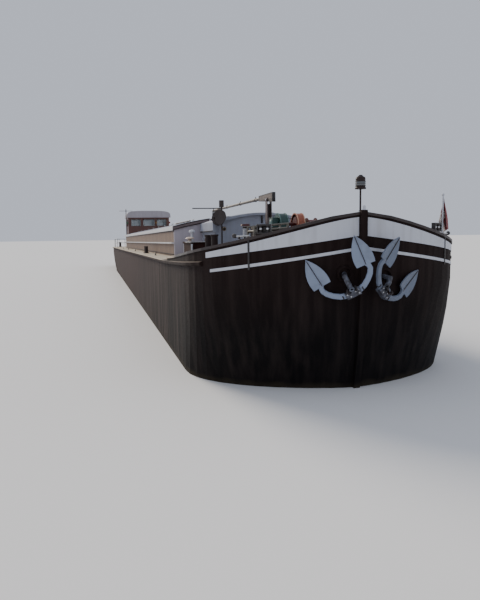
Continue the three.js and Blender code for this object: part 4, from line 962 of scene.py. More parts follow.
stub = turning((WINCH_X, CASE_FACE, WINCH_AXIS - 0.07), STUB, dark_steel, (0, -1, 0), 16)
piece("windlass_crank_stub", "steel", stub)
plate_z = WINCH_AXIS + 0.03
plate = turning((WINCH_X, CASE_FACE, plate_z), PLATE, pale_green_highlight, (0, -1, 0), 24)
bolt_points = [(WINCH_X + dx, CASE_FACE - 0.008, plate_z + dz) for dx, dz in circle(6, 0.066, 30)]
plate_bolts = bolt_row(bolt_points, 0.007, bright_steel, (0, -1, 0))
lid = bar((WINCH_X - 0.120, -0.555, WINCH_AXIS + 0.121), (WINCH_X + 0.120, -0.428, WINCH_AXIS + 0.131),
          green_paint)
piece("windlass_case_trim", "green", plate, plate_bolts, lid)
lever = pipe([(WINCH_X - 0.16, BRAKE_Y, WINCH_BED + 0.14), (WINCH_X - 0.20, BRAKE_Y, WINCH_BED + 0.45),
              (WINCH_X - 0.25, BRAKE_Y, WINCH_AXIS - 0.06)], 0.012, dark_steel)
grip = turning((WINCH_X - 0.244, BRAKE_Y, WINCH_AXIS - 0.085), GRIP, trim_black, (-0.31, 0, 0.95), 14)
foot = bar((WINCH_X - 0.20, 0.170, WINCH_BED + 0.001), (WINCH_X - 0.12, 0.199, WINCH_BED + 0.15),
           green_paint, 0.006)
piece("windlass_brake", "steel", lever, grip, foot)
feet = [(WINCH_X + dx, y, WINCH_BED) for dx in (-0.30, 0.30) for y in (-0.62, -0.33, -0.02, 0.27, 0.44)]
piece("windlass_bolts", "steel", bolt_row(feet, 0.016, dark_steel))

# %% Lugs round the chain wheel in the open hood
lug = bar((-0.020, -0.014, 0.116), (0.020, 0.054, 0.164), worn_steel)
lugs = []
for k, twin in enumerate([lug, *copies(lug, *[(0, 0, 0)] * 7)]):
    spin = Matrix.Rotation(math.radians(45 * k), 4, "Y")
    lugs.append(applied(twin, Matrix.Translation((WINCH_X, 0, WINCH_AXIS)) @ spin))
piece("chain_wheel_lugs", "steel", *lugs, body="windlass_shaft")

# %% [markdown]
# ## Gear chests under the pipe racks
# The rack's pipes are bare grey, but the chest inside them is a dark wooden box. Both are one
# solid, so its paint changes by place: inside the chest's corners it turns dark. A lid with two
# bright hasps closes it.


# %% Split paint and chest lids
def rack_material():
    recipe = Recipe("rack_and_chest")
    x, y, z = recipe.parts()
    chest = recipe.times(recipe.between(x, aft(2.088), aft(1.742)),
                         recipe.between(recipe.math("ABSOLUTE", y), 0.657, 1.213))
    chest = recipe.times(chest, recipe.math("LESS_THAN", z, 3.2175))
    wood = recipe.mottled(1.0, (0.060, 0.033, 0.024), (0.030, 0.019, 0.016), 0.4, 0.65, (30, 3, 30))
    pipes = recipe.mottled(6.0, (0.20, 0.19, 0.155), (0.12, 0.10, 0.085), 0.45)
    return recipe.finish(recipe.mix(chest, pipes, wood), 0.55, recipe.noise(40))


dress("foredeck_rack_*", rack_material())
chest_wood = weathered("chest_wood", (0.050, 0.030, 0.023), (0.026, 0.018, 0.016), 0.6, 0.5, (0.4, 0.6))
lid = bar((aft(2.095), -1.220, 3.2145), (aft(1.735), -0.650, 3.236), chest_wood, 0.005)
hasps = [bar((aft(1.7345), y - 0.030, 3.190), (aft(1.724), y + 0.030, 3.232), bright_steel, 0.003)
         for y in (-1.02, -0.76)]
hasps += [turning((aft(1.724), y, 3.200), [(0.014, 0), (0.014, 0.012), (0.008, 0.018)], bright_steel,
                  (1, 0, 0), 12) for y in (-1.02, -0.76)]
both_sides("gear_chest_lid", "dark_brown", lid, *hasps)

# %% [markdown]
# ## Vent and lantern
# The vent is a white pipe with a flat dark red head. Both are one solid, so the paint changes at
# the head's underside. The bow lantern is black; it gets a lens band between two rings and a
# vented cap.


# %% Dress the vent
def vent_material():
    recipe = Recipe("vent_paint")
    x, y, z = recipe.parts()
    rust = recipe.ramp(recipe.noise(7.0, (1, 1, 0.5)), 0.45, 0.65, 0, 0.8)
    post = recipe.mix(rust, (0.46, 0.47, 0.50), (0.13, 0.075, 0.055))
    head = recipe.mottled(12.0, (0.085, 0.016, 0.014), (0.045, 0.018, 0.014))
    top = recipe.math("GREATER_THAN", z, 3.274)
    return recipe.finish(recipe.mix(top, post, head), 0.5, recipe.noise(50))


dress("vent_post", vent_material())
vent_collar = [(0.052, 0), (0.060, 0.004), (0.060, 0.020), (0.052, 0.024)]
piece("vent_collars", "dark_brown",
      *(turning((aft(2.33), -1.240, z), vent_collar, trim_brown, sides=18) for z in (2.72, 3.235)))

# %% Dress the lantern
STAFF = (STEM - 0.030, -0.030)
LENS = [(0.0765, 0), (0.0785, 0.003), (0.0785, 0.055), (0.0765, 0.058)]
LANTERN_CAP = [(0.044, 0), (0.044, 0.006), (0.030, 0.012), (0.030, 0.020), (0.012, 0.026)]

lens_glass = weathered("lens_glass", (0.12, 0.13, 0.14), (0.07, 0.07, 0.08), 0.1, 0.4, (0.12, 0.25))
piece("lantern_lens", "glass", turning((*STAFF, 3.822), LENS, lens_glass, sides=28))
guards = [ring((*STAFF, z), 0.0785, 0.0045, (0, 0, 1), trim_black, sides=28) for z in (3.818, 3.852, 3.884)]
piece("lantern_guards", "black", *guards, turning((*STAFF, 3.9605), LANTERN_CAP, trim_black, sides=18))

# %% [markdown]
# ## Deckhouse
# The small white house ahead of the hold has a plank door with strap hinges, portholes in brass
# rings, a lamp and a dark rope sheave on its front, hand rails along the roof and a mushroom vent.

# %% Helpers: porthole, vent, hand rail
brass = weathered("brass", (0.42, 0.28, 0.10), (0.12, 0.10, 0.05), 0.2, 0.6, (0.25, 0.45), 0.9)
dark_glass = weathered("dark_glass", (0.020, 0.024, 0.030), (0.045, 0.045, 0.045), 0.2, 0.3, (0.05, 0.12))


def porthole(at, radius, toward):
    """A round window: a brass ring round a dark pane."""
    rim = [(1.30 * radius, -0.002), (1.30 * radius, 0.008), (1.18 * radius, 0.016), (radius, 0.016),
           (radius, 0.006)]
    pane = [(1.02 * radius, 0.001), (1.02 * radius, 0.007), (0.4 * radius, 0.0085)]
    return joined(turning(at, rim, brass, toward, 24), turning(at, pane, dark_glass, toward, 24))


def mushroom_vent(at, radius, height, material):
    """A short neck on a foot, under a cap that is wider than both."""
    foot = [(0.62 * radius, 0), (0.62 * radius, 0.012), (0.45 * radius, 0.016)]
    cap = [(0.45, 0.55), (1, 0.58), (1, 0.68), (0.85, 0.86), (0.35, 1)]
    return turning(at, foot + [(r * radius, h * height) for r, h in cap], material, sides=24)


def hand_rail(points, radius, material, foot):
    """A rail through points with a short turned foot under each."""
    rail = pipe(points, radius, material, "AUTO")
    shape = [(2.2 * radius, 0), (2.2 * radius, 0.006), (0.9 * radius, 0.012), (0.9 * radius, foot)]
    return joined(rail, *(turning((x, y, z - foot), shape, material, sides=12) for x, y, z in points))


# %% Portholes, sheave and door of the deckhouse
HOUSE_FRONT, HOUSE_SIDE = aft(5.31), 1.190
DOOR_KNOB = [(0.020, 0), (0.020, 0.005), (0.009, 0.010), (0.009, 0.030), (0.020, 0.038),
             (0.018, 0.052)]

wall_ports = [porthole((x, -HOUSE_SIDE, 2.98), 0.085, (0, -1, 0)) for x in (aft(5.75), aft(6.4))]
both_sides("deckhouse_portholes", "bronze", *wall_ports)
piece("deckhouse_front_light", "black", porthole((HOUSE_FRONT, -0.955, 3.285), 0.035, (1, 0, 0)))
sheave_plate = bar((HOUSE_FRONT + 0.001, -0.030, 3.415), (HOUSE_FRONT + 0.020, 0.015, 3.598), trim_black)
sheave = turning((HOUSE_FRONT + 0.010, -0.0075, 3.54), [(0.026, 0), (0.026, 0.030), (0.014, 0.036)],
                 dark_steel, (1, 0, 0))
piece("deckhouse_sheave", "black", sheave_plate, sheave)
planks = [bar((HOUSE_FRONT + 0.0005, y, 2.70), (HOUSE_FRONT + 0.007, y + 0.096, 3.15), shaded_white_paint, 0.003)
          for y in (0.392 + 0.104 * k for k in range(6))]
piece("deckhouse_door_planks", "white", *planks, body="deckhouse_door")
straps = [bar((HOUSE_FRONT + 0.007, 0.70, z), (HOUSE_FRONT + 0.013, 1.000, z + 0.035), dark_steel, 0.002)
          for z in (2.76, 3.05)]
knob = turning((HOUSE_FRONT + 0.006, 0.425, 2.93), DOOR_KNOB, brass, (1, 0, 0), 16)
piece("deckhouse_door_fittings", "steel", *straps, knob, body="deckhouse_door")

# %% Roof edge highlight, eave shadow strips, rails and vents of the deckhouse
CABIN_ROOF = (1.25, 3.45, 3.66)
DECK_VENT = [(0.060, 0), (0.060, 0.012), (0.034, 0.016), (0.034, 0.610), (0.078, 0.622), (0.078, 0.648),
             (0.060, 0.676), (0.024, 0.690)]


def arch(y, roof):
    """Height of a rounded roof, given as (half width, edge, crown), off the centre line."""
    half, edge, crown = roof
    return edge + (crown - edge) * (1 - (y / half) ** 2)


def arch_strip(x, half_width, roof, material, reach_out, steps=20):
    """A flat strip bent over a rounded roof."""
    spots = [reach_out * (2 * k / steps - 1) for k in range(steps + 1)]
    return ribbon([((x, y, arch(y, roof) + 0.0045), (half_width, 0, 0)) for y in spots], 0.008, material)


# A bright strip along the roof's front edge: a painted highlight where the sun catches the edge.
piece("deckhouse_roof_edge_highlight", "steel", arch_strip(aft(5.262), 0.020, CABIN_ROOF, bright_steel, 1.246))
# A dark strip under each side eave: painted shadow under the roof's overhang.
eave_shadow_strip = bar((aft(6.815), -1.262, 3.224), (aft(5.245), -1.2505, 3.250), trim_black, 0.003)
both_sides("deckhouse_eave_shadow_rail", "black", eave_shadow_strip)
rail_line = [(aft(a), -1.02, arch(1.02, CABIN_ROOF) + 0.062) for a in (5.50, 5.88, 6.26, 6.64)]
both_sides("deckhouse_hand_rail", "white", hand_rail(rail_line, 0.012, shaded_white_paint, 0.062))
roof_vent = mushroom_vent((aft(6.35), 0.55, arch(0.55, CABIN_ROOF) - 0.004), 0.10, 0.13, shaded_white_paint)
piece("deckhouse_roof_vent", "white", roof_vent)
deck_vent = turning((aft(6.3), -1.57, DECK + 0.002), DECK_VENT, shaded_white_paint, sides=24)
piece("side_deck_vent", "white", deck_vent)

# %% [markdown]
# ## Deck locker
# The brown locker beside the deckhouse gets strap hinges, a lifting handle and a cream vent on the
# lid's after end. Bright steel strips along the lid's edges and down its corners are a painted
# highlight on the sunlit edges.

# %% Dress the locker
locker_paint = weathered("locker_paint", (0.034, 0.014, 0.012), (0.018, 0.010, 0.009), 0.6, 0.5,
                         (0.6, 0.8), gloss=0.08)
dress("deck_locker*", locker_paint)
cream = weathered("cream_paint", (0.62, 0.50, 0.40), (0.36, 0.26, 0.20), 0.3, 0.4)


def staple(start, end, out, radius, material):
    """A handle: from one foot it stands out, runs across and comes back to the other foot."""
    start, end, out = Vector(start), Vector(end), Vector(out)
    return pipe([start, start + out, end + out, end], radius, material)


low, high = (Vector(corner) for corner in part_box("deck_locker_lid"))
# Bright strips along the lid's top edges: a painted highlight on the sunlit edges.
edges = [bar((low.x + 0.35, low.y - 0.003, high.z - 0.016), (high.x, low.y + 0.010, high.z + 0.003),
             bright_steel, 0.002),
         bar((high.x - 0.010, low.y, high.z - 0.016), (high.x + 0.003, high.y, high.z + 0.003),
             bright_steel, 0.002)]
straps = [bar((x - 0.022, low.y + 0.03, high.z + 0.0005), (x + 0.022, high.y - 0.005, high.z + 0.006),
              dark_steel, 0.002) for x in (low.x + 0.22, high.x - 0.22)]
handle = staple((aft(5.10), low.y - 0.002, high.z - 0.02), (aft(4.98), low.y - 0.002, high.z - 0.02),
                (0, -0.028, 0), 0.006, dark_steel)
piece("locker_lid_fittings", "steel", *edges, handle, *straps, body="locker_lid")
lid_vent = mushroom_vent((low.x + 0.17, (low.y + high.y) / 2 - 0.03, high.z - 0.001), 0.105, 0.115, cream)
piece("locker_lid_vent", "white", lid_vent, body="locker_lid")
# Bright strips down the locker's corners: a painted highlight on the sunlit edges.
edge_highlights = [bar((x, -1.8745, 2.61), (x + 0.035, -1.8695, 2.94), bright_steel, 0.002)
         for x in (aft(5.800), aft(4.735))]
edge_highlights.append(bar((aft(4.7005), -1.8745, 2.61), (aft(4.6955), -1.840, 2.94), bright_steel, 0.002))
piece("locker_edge_highlights", "steel", *edge_highlights)

# %% [markdown]
# ## Mast fittings
# The mast lies lowered to the stern with its counterweight ahead of the post. Iron bands hold
# eyes for its stays, a block hangs at the tip and a face plate closes the weight box. Nothing is
# added to the box's sides, because they pass between the post's cheeks when the mast is raised.

# %% Split paint for the mast and its post
MAST_X, PIVOT, BOOM_LINE, BOOM_END = aft(4.75), 3.935, 4.008, 6.3


def mast_material():
    """Dark brown, with a lighter field along the sides near the pivot."""
    recipe = Recipe("mast_paint")
    x, y, z = recipe.parts()
    wear = recipe.ramp(recipe.noise(9.0, (0.5, 1, 1)), 0.4, 0.7)
    edge = recipe.mix(wear, (0.042, 0.028, 0.024), (0.022, 0.017, 0.016))
    field = recipe.mix(wear, (0.140, 0.105, 0.090), (0.080, 0.060, 0.052))
    inside = recipe.times(recipe.between(x, MAST_X - 0.62, MAST_X + 0.335),
                          recipe.between(z, 3.955, 4.058))
    return recipe.finish(recipe.mix(inside, edge, field), 0.55, recipe.noise(40))


dress("mast", mast_material())
post_paint = weathered("post_paint", (0.120, 0.092, 0.092), (0.055, 0.036, 0.032), 0.5, 0.5)
dress("mast_post", post_paint)
dish_paint = weathered("dish_paint", (0.048, 0.036, 0.034), (0.024, 0.019, 0.018), 0.4, 0.5, (0.6, 0.8))
dress("dish_aerial", dish_paint)


# %% Bands and eyes along the boom
def boom_radius(distance):
    """The boom tapers evenly from 40 to 32 mm."""
    return 0.040 - 0.008 * (distance - 0.68) / (BOOM_END - 0.68)


bands = []
for distance in (1.1, 2.6, 4.2, 5.3, 6.15):
    boom = boom_radius(distance)
    band = [(boom, -0.026), (boom + 0.009, -0.022), (boom + 0.009, 0.022), (boom, 0.026)]
    bands.append(turning((MAST_X - distance, 0, BOOM_LINE), band, dark_steel, (1, 0, 0)))
    eye_z = BOOM_LINE + boom + 0.020
    bands.append(ring((MAST_X - distance, 0, eye_z), 0.018, 0.006, (0, 1, 0), dark_steel))

# %% Block at the tip, face plate and pin nuts
PIN_NUT = [(0.030, 0), (0.030, 0.012), (0.014, 0.015), (0.014, 0.026)]
tip = MAST_X - BOOM_END
block = [bar((tip + 0.02, y, BOOM_LINE - 0.165), (tip + 0.10, y + 0.012, BOOM_LINE - 0.045),
             dark_steel, 0.008) for y in (-0.030, 0.018)]
block.append(turning((tip + 0.06, -0.017, BOOM_LINE - 0.105), [(0.044, 0), (0.034, 0.017), (0.044, 0.034)],
                     bright_steel, (0, 1, 0)))
block.append(ring((tip + 0.06, 0, BOOM_LINE - 0.040), 0.022, 0.007, (0, 1, 0), dark_steel))
face_plate = bar((MAST_X + 0.3702, -0.040, 3.874), (MAST_X + 0.379, 0.040, 4.086), trim_black, 0.003)
pin_nuts = [turning((MAST_X, side * 0.066, PIVOT), PIN_NUT, bright_steel, (0, side, 0), 6)
            for side in (-1, 1)]
piece("mast_fittings", "steel", *bands, *block, face_plate, *pin_nuts, body="mast")
post_feet = [(MAST_X + dx, dy, 2.630) for dx in (-0.150, 0.110) for dy in (-0.110, 0.110)]
post_bands = [bar((MAST_X - 0.106, -0.063, z), (MAST_X + 0.049, 0.063, z + 0.035), post_paint, 0.003)
              for z in (2.95, 3.30)]
piece("mast_post_fittings", "steel", bolt_row(post_feet, 0.014, dark_steel), *post_bands)
print("boom tip", round(STEM - tip, 2), "m aft of the stem")

# %% [markdown]
# ## Hold roof
# The roof is five rounded panels. Arched battens stiffen them and cover the joints, a board with
# dark beads closes each end, a gutter strip runs under each side, and lifting handles stand on
# every panel. A boathook lies along the starboard shoulder.


# %% Paint for the roof
def roof_material():
    """White sheet; what stands above the crown, such as the boom's crutch, is dark brown."""
    recipe = Recipe("roof_paint")
    x, y, z = recipe.parts()
    dirt = recipe.math("MAXIMUM", recipe.ramp(recipe.noise(1.0, (0.8, 9, 9)), 0.46, 0.72, 0, 0.4),
                       recipe.ramp(recipe.noise(1.1), 0.5, 0.75, 0, 0.4))
    sheet = recipe.mix(dirt, (0.58, 0.58, 0.60), (0.36, 0.34, 0.32))
    crutch = recipe.ramp(z, 3.675, 3.680)
    return recipe.finish(recipe.mix(crutch, sheet, (0.030, 0.018, 0.017)), 0.5, recipe.noise(50))


dress("roof_panel_*", roof_material())
brow_paint = weathered("brow_paint", (0.155, 0.120, 0.125), (0.085, 0.062, 0.060), 0.4, 0.4)

# %% Battens and handles
HOLD_ROOF, GRIP_Y = (1.995, 3.39, 3.66), 1.25
roof_ends = [[corner[0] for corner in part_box(f"roof_panel_{number}")] for number in range(1, 6)]

for number, (low, high) in enumerate(roof_ends, 1):
    parts = [arch_strip(low + share * (high - low), 0.030, HOLD_ROOF, shaded_white_paint, 1.985)
             for share in (0.012, 0.34, 0.66, 0.988)]
    foot_z = arch(GRIP_Y, HOLD_ROOF) - 0.006
    parts += [staple((x - 0.09, y, foot_z), (x + 0.09, y, foot_z), (0, 0, 0.06), 0.009, grey_paint)
              for y in (-GRIP_Y, GRIP_Y) for x in (low + 0.25 * (high - low), low + 0.75 * (high - low))]
    piece(f"roof_battens_{number}", "white", *parts)

# %% Boards at the ends, gutters and beads
roof_front, roof_back = roof_ends[0][1], roof_ends[-1][0]


def brow(x, out):
    """A board under an end of the roof between two dark beads."""
    spots = [1.98 * (2 * k / 24 - 1) for k in range(25)]
    stations = [((x + out * 0.006, y, arch(y, HOLD_ROOF) - 0.052), (0, 0, 0.048)) for y in spots]
    beads = [pipe([(x + out * 0.010, y, arch(y, HOLD_ROOF) - drop) for y in spots], 0.013, trim_brown,
                  rings=1) for drop in (0.012, 0.092)]
    return joined(ribbon(stations, 0.010, brow_paint), *beads)


piece("roof_brow_fore", "dark_brown", brow(roof_front, 1))
piece("roof_brow_aft", "dark_brown", brow(roof_back, -1))
gutter = bar((roof_back + 0.03, -1.972, 3.262), (roof_front - 0.03, -1.951, 3.288), trim_brown, 0.003)
both_sides("roof_gutter", "dark_brown", gutter)
bead = bar((roof_back + 0.10, -1.962, 2.640), (roof_front - 0.12, -1.951, 2.664), trim_brown, 0.003)
both_sides("coaming_bead", "dark_brown", bead)

# %% Boathook on the roof
HOOK_Y = -1.50
hook_z = arch(HOOK_Y, HOLD_ROOF) + 0.030
pole = pipe([(aft(6.95), HOOK_Y, hook_z), (aft(9.60), HOOK_Y, hook_z)], 0.019, trim_brown, rings=3)
point = turning((aft(9.60), HOOK_Y, hook_z), [(0.023, -0.10), (0.023, 0.0), (0.014, 0.06), (0.006, 0.12)],
                bright_steel, (-1, 0, 0), 14)
bend = [(aft(a), HOOK_Y - off, hook_z) for a, off in ((9.64, 0), (9.67, 0.05), (9.63, 0.085))]
hook = pipe(bend, 0.007, bright_steel, "AUTO")
chocks = [bar((x - 0.02, HOOK_Y - 0.035, hook_z - 0.052), (x + 0.02, HOOK_Y + 0.035, hook_z - 0.012),
              trim_brown) for x in (aft(7.35), aft(9.10))]
piece("boathook", "dark_brown", pole, point, hook, *chocks)

# %% [markdown]
# ## Decks
# Small deck gear: horn cleats along the side decks, flush filler caps, and a manhole on the
# foredeck and one aft.

# %% Cleats, caps and manholes
DECK_HORN = ((-0.11, 0.062), (-0.05, 0.050), (0.05, 0.050), (0.11, 0.062))
DECK_LEG = [(0.022, 0), (0.016, 0.010), (0.013, 0.045)]
FILLER_CAP = [(0.055, 0), (0.055, 0.008), (0.040, 0.012), (0.012, 0.013)]
MANHOLE_RIM = [(0.260, -0.002), (0.260, 0.012), (0.235, 0.018), (0.225, 0.012)]
MANHOLE_COVER = [(0.222, 0.0), (0.222, 0.015), (0.10, 0.018), (0.04, 0.018)]


def deck_cleat(x, y, z):
    plate = bar((-0.075, -0.030, -0.001), (0.075, 0.030, 0.008), dark_steel, 0.003)
    whole = joined(plate, cleat(DECK_LEG, 0.04, DECK_HORN, 0.013, dark_steel))
    return applied(whole, Matrix.Translation((x, y, z)))


def manhole(x, y, z):
    rim = turning((x, y, z), MANHOLE_RIM, trim_brown, sides=32)
    cover = turning((x, y, z), MANHOLE_COVER, dark_steel, sides=32)
    bolts = bolt_row([(x + dx, y + dy, z + 0.016) for dx, dy in circle(8, 0.243)], 0.008, dark_steel)
    return joined(rim, cover, bolts)


deck_cleats = [deck_cleat(aft(a), -2.26, DECK + 0.002) for a in (8.6, 16.4, 20.9, 25.5)]
both_sides("deck_cleats", "steel", *deck_cleats)
both_sides("filler_caps", "bronze",
           *(turning((aft(a), -2.12, DECK), FILLER_CAP, bronze, sides=20) for a in (14.0, 31.2)))
piece("manhole_fore", "dark_brown", manhole(aft(3.9), 0.95, deck_height(aft(3.9)) - 0.004))
piece("manhole_aft", "dark_brown", manhole(aft(36.0), 0.95, DECK))

# %% [markdown]
# ## Engine casing
# The low casing over the engine has portholes along its sides, mushroom vents and a hatch with
# handles and strap hinges. What sits on the hatch moves with it.

# %% Fit out the casing and its hatch
ports = [porthole((aft(a), -1.5, 2.84), 0.075, (0, -1, 0)) for a in (29.3, 30.5, 31.7)]
both_sides("casing_portholes", "bronze", *ports)
piece("casing_vents", "grey", *(mushroom_vent((aft(a), y, 3.058), 0.13, 0.20, grey_paint)
                                for a, y in ((29.25, -0.95), (29.25, 0.95), (31.85, 0.95))))
low, high = (Vector(corner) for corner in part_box("engine_hatch"))
grips = [staple((x - 0.08, -0.36, high.z - 0.004), (x + 0.08, -0.36, high.z - 0.004), (0, 0, 0.054),
                0.009, grey_paint) for x in (aft(30.25), aft(30.75))]
straps = [bar((x - 0.025, -0.10, high.z + 0.0005), (x + 0.025, high.y - 0.004, high.z + 0.007),
              dark_steel, 0.002) for x in (aft(30.2), aft(30.8))]
treads = [bar((aft(30.9), y, high.z + 0.0005), (aft(30.1), y + 0.012, high.z + 0.005), dark_steel, 0.001)
          for y in (-0.24, -0.19, -0.14)]
piece("engine_hatch_fittings", "steel", *grips, *straps, *treads, body="engine_hatch")

# %% [markdown]
# ## Wheelhouse
# The wheelhouse is varnished red-brown wood under a rounded light roof. Each window gets a frame,
# the front ones wipers. Side lights, a horn, grab rails and a signal pole are outside; a compass,
# dials, a lever and a helmsman's stool are inside and show through the glass.

# %% Window frames
WALL_Y, WALL_FORE, WALL_AFT = 1.450, aft(33.0), aft(35.3)
SILL, HEAD = 4.080, 4.550
frame_wood = weathered("frame_wood", (0.085, 0.028, 0.018), (0.040, 0.018, 0.014), 0.4, 0.4, (0.3, 0.5))


def window_frame(u0, u1, v0, v1, face, out, along_x, width=0.035, proud=0.014):
    """Four bars round an opening in a wall that faces along Y (along_x) or along X."""
    sides = [(u0 - width, u1 + width, v1, v1 + width), (u0 - width, u1 + width, v0 - width, v0),
             (u0 - width, u0, v0, v1), (u1, u1 + width, v0, v1)]
    near, far = sorted((face + out * 0.0005, face + out * proud))
    made = []
    for a0, a1, b0, b1 in sides:
        low, high = ((a0, near, b0), (a1, far, b1)) if along_x else ((near, a0, b0), (far, a1, b1))
        made.append(bar(low, high, frame_wood, 0.003))
    return made


for name, face, out in (("fore", WALL_FORE, 1), ("aft", WALL_AFT, -1)):
    parts = [window_frame(u0, u1, SILL, HEAD, face, out, False)
             for u0, u1 in ((-1.250, -0.570), (-0.410, 0.410), (0.570, 1.250))]
    piece(f"window_frames_{name}", "red_brown", *sum(parts, []))
both_sides("window_frame_side", "red_brown",
           *window_frame(aft(34.05), aft(33.35), SILL, HEAD, -WALL_Y, -1, True))
pane = bar((aft(34.06), -WALL_Y + 0.020, SILL - 0.01), (aft(33.34), -WALL_Y + 0.026, HEAD + 0.01),
           window_glass, 0.001)
both_sides("window_pane_side", "glass", pane)


# %% Boards and panes of the doors
def across_wall(side, inner, outer):
    """Two places across a side wall, counted outwards from its face, the lower one first."""
    return sorted((side * (WALL_Y + inner), side * (WALL_Y + outer)))


for name, side in (("starboard", -1), ("port", 1)):
    door = f"wheelhouse_door_{name}"
    opening = window_frame(aft(34.87), aft(34.36), 3.75, 4.45, side * WALL_Y, side, True)
    near, far = across_wall(side, -0.030, -0.024)
    pane = bar((aft(34.875), near, 3.745), (aft(34.355), far, 4.455), window_glass, 0.001)
    near, far = across_wall(side, 0.0005, 0.012)
    boards = [bar((aft(34.86) + 0.103 * k, near, 2.76), (aft(34.86) + 0.103 * k + 0.097, far, 3.60),
                  frame_wood) for k in range(1, 5)]
    piece(f"{door}_trim", "red_brown", *opening, *boards, body=door)
    piece(f"{door}_pane", "glass", pane, body=door)

# %% Wipers and horn
WIPER_Y = (-0.91, 0.0, 0.91)
HORN = [(0.016, 0), (0.016, 0.12), (0.020, 0.16), (0.034, 0.20), (0.055, 0.225), (0.048, 0.225),
        (0.020, 0.18)]

wipers = [pipe([(WALL_FORE + 0.022, y, HEAD + 0.01), (WALL_FORE + 0.020, y + 0.14, SILL + 0.16)], 0.005,
               trim_black, rings=1) for y in WIPER_Y]
wipers += [turning((WALL_FORE + 0.001, y, HEAD + 0.018), [(0.024, 0), (0.024, 0.016), (0.012, 0.026)],
                   trim_black, (1, 0, 0), 14) for y in WIPER_Y]
piece("window_wipers", "black", *wipers)
piece("horn", "bronze", turning((WALL_FORE + 0.002, 0.49, 4.30), HORN, brass, (1, 0, 0), 20))

# %% Side lights and grab rails
red_lens = weathered("red_lens", (0.42, 0.012, 0.012), (0.22, 0.01, 0.01), 0.1, 0.3, (0.08, 0.2))
green_lens = weathered("green_lens", (0.012, 0.26, 0.10), (0.01, 0.14, 0.06), 0.1, 0.3, (0.08, 0.2))
LAMP_BASE = [(0.030, 0), (0.042, 0.006), (0.042, 0.020)]
LAMP_LENS = [(0.038, 0), (0.041, 0.01), (0.041, 0.06), (0.036, 0.07)]
LAMP_HOOD = [(0.042, 0), (0.042, 0.012), (0.020, 0.022)]

for name, side, lens_paint in (("starboard", -1, green_lens), ("port", 1, red_lens)):
    at = (aft(33.16), side * (WALL_Y + 0.065))
    near, far = across_wall(side, 0.0005, 0.018)
    board = bar((aft(33.32), near, 4.22), (aft(33.05), far, 4.42), trim_black)
    near, far = across_wall(side, 0.015, 0.065)
    arm = bar((aft(33.18), near, 4.250), (aft(33.14), far, 4.260), trim_black, 0.002)
    lamp = [turning((*at, z), shape, paint, sides=18) for z, shape, paint in (
        (4.26, LAMP_BASE, trim_black), (4.352, LAMP_HOOD, trim_black), (4.281, LAMP_LENS, lens_paint))]
    piece(f"side_light_{name}", "black", board, arm, *lamp)
grab = [staple((x, -WALL_Y + 0.002, 3.15), (x, -WALL_Y + 0.002, 3.85), (0, -0.047, 0), 0.011, bright_steel)
        for x in (aft(34.14), aft(35.12))]
both_sides("wheelhouse_grab_rail", "steel", *grab)

# %% Signal pole beside the wheelhouse
POLE_X, POLE_Y = aft(32.86), -1.60
POLE = [(0.075, 0), (0.075, 0.012), (0.032, 0.016), (0.026, 2.50), (0.018, 2.67), (0.010, 2.68)]
pole_paint = weathered("pole_paint", (0.085, 0.060, 0.062), (0.045, 0.030, 0.030), 0.4, 0.4)
pole = turning((POLE_X, POLE_Y, DECK + 0.002), POLE, pole_paint, sides=16)
yard = pipe([(POLE_X, POLE_Y - 0.46, 5.13), (POLE_X, POLE_Y + 0.46, 5.13)], 0.012, pole_paint)
clamp = bar((POLE_X - 0.034, POLE_Y - 0.045, 5.10), (POLE_X + 0.034, POLE_Y + 0.045, 5.16), dark_steel)
brace = pipe([(POLE_X, POLE_Y, 4.2), (WALL_FORE + 0.001, -1.38, 4.2)], 0.010, pole_paint)
piece("signal_pole", "grey", pole, yard, clamp, brace)

# %% Inside the wheelhouse
console_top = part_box("helm_console")[1][2]
BINNACLE = [(0.070, 0), (0.070, 0.05), (0.080, 0.055), (0.080, 0.085), (0.060, 0.125), (0.020, 0.140)]
STOOL = [(0.20, 0), (0.20, 0.015), (0.045, 0.030), (0.035, 0.60), (0.060, 0.62), (0.19, 0.640),
         (0.195, 0.665), (0.17, 0.680), (0.05, 0.684)]
DIAL_RIM = [(0.052, 0), (0.052, 0.012), (0.044, 0.016), (0.043, 0.008)]
DIAL_GLASS = [(0.042, 0.001), (0.042, 0.009), (0.010, 0.0095)]
DESK_SLOPE = Vector((-0.110, 0, 0.320)).normalized()

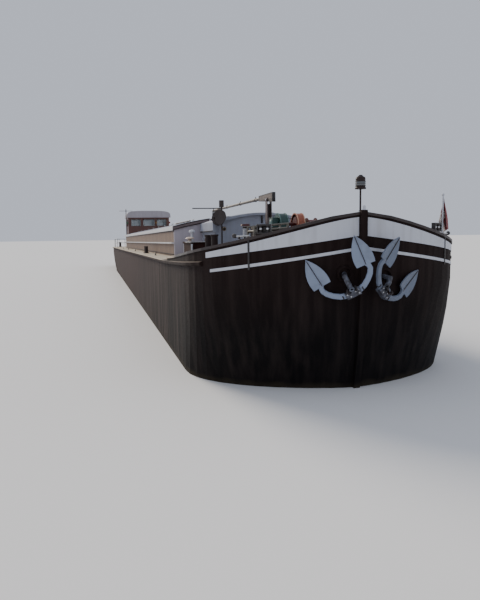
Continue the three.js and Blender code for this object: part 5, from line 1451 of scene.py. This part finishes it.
piece("compass", "bronze", turning((aft(33.20), 0.30, console_top), BINNACLE, brass, sides=24))
lever_box = bar((aft(33.235), -0.38, console_top - 0.001), (aft(33.155), -0.28, console_top + 0.07),
                trim_black, 0.008)
lever = pipe([(aft(33.195), -0.33, console_top + 0.05), (aft(33.225), -0.33, console_top + 0.17)], 0.009,
             bright_steel)
knob = turning((aft(33.225), -0.33, console_top + 0.155),
               [(0.012, 0), (0.024, 0.012), (0.024, 0.03), (0.010, 0.042)], trim_black, sides=16)
piece("throttle", "black", lever_box, lever, knob)
dials = []
for k in range(4):
    spot = (aft(33.40), -0.33 + 0.22 * k, console_top - 0.055)
    for shape, paint in ((DIAL_RIM, brass), (DIAL_GLASS, dark_glass)):
        dials.append(turning(spot, shape, paint, DESK_SLOPE, 22))
piece("console_dials", "bronze", *dials)
piece("helm_stool", "red_brown", turning((aft(34.5), 0.0, DECK + 0.002), STOOL, frame_wood, sides=28))

# %% [markdown]
# ## Stern and rudder
# A life ring hangs on the after wall of the wheelhouse, and iron straps bind the rudder blade to
# its stock. The straps turn with the rudder.

# %% Life ring
RING_X, RING_Z, RING_RADIUS = WALL_AFT - 0.062, 3.45, 0.29
RING_BAND = [(0.0545, -0.035), (0.0555, 0), (0.0545, 0.035)]
ring_paint = weathered("ring_paint", (0.60, 0.12, 0.05), (0.34, 0.10, 0.06), 0.3, 0.4, (0.4, 0.6))
life_ring = [ring((RING_X, 0.0, RING_Z), RING_RADIUS, 0.052, (1, 0, 0), ring_paint, sides=36)]
for across, up in circle(4, RING_RADIUS, 45):
    life_ring.append(turning((RING_X, across, RING_Z + up), RING_BAND, shaded_white_paint, (0, -up, across)))
hooks = [bar((WALL_AFT - 0.075, y - 0.015, 3.715), (WALL_AFT + 0.001, y + 0.015, 3.728), dark_steel, 0.003)
         for y in (-0.10, 0.10)]
piece("life_ring", "orange", *life_ring, *hooks)

# %% Rudder straps
STOCK_X = aft(36.9835)
straps = []
for z in (0.50, 0.85, 1.15):
    for side in (-1, 1):
        near, far = sorted((side * 0.0605, side * 0.070))
        straps.append(bar((STOCK_X - 0.42, near, z), (STOCK_X + 0.015, far, z + 0.05), dark_steel, 0.003))
        heads = [(STOCK_X - dx, side * 0.070, z + 0.025) for dx in (0.08, 0.22, 0.36)]
        straps.append(bolt_row(heads, 0.010, dark_steel, (0, side, 0)))
piece("rudder_straps", "steel", *straps, body="rudder")
print("pieces made:", len(pieces))
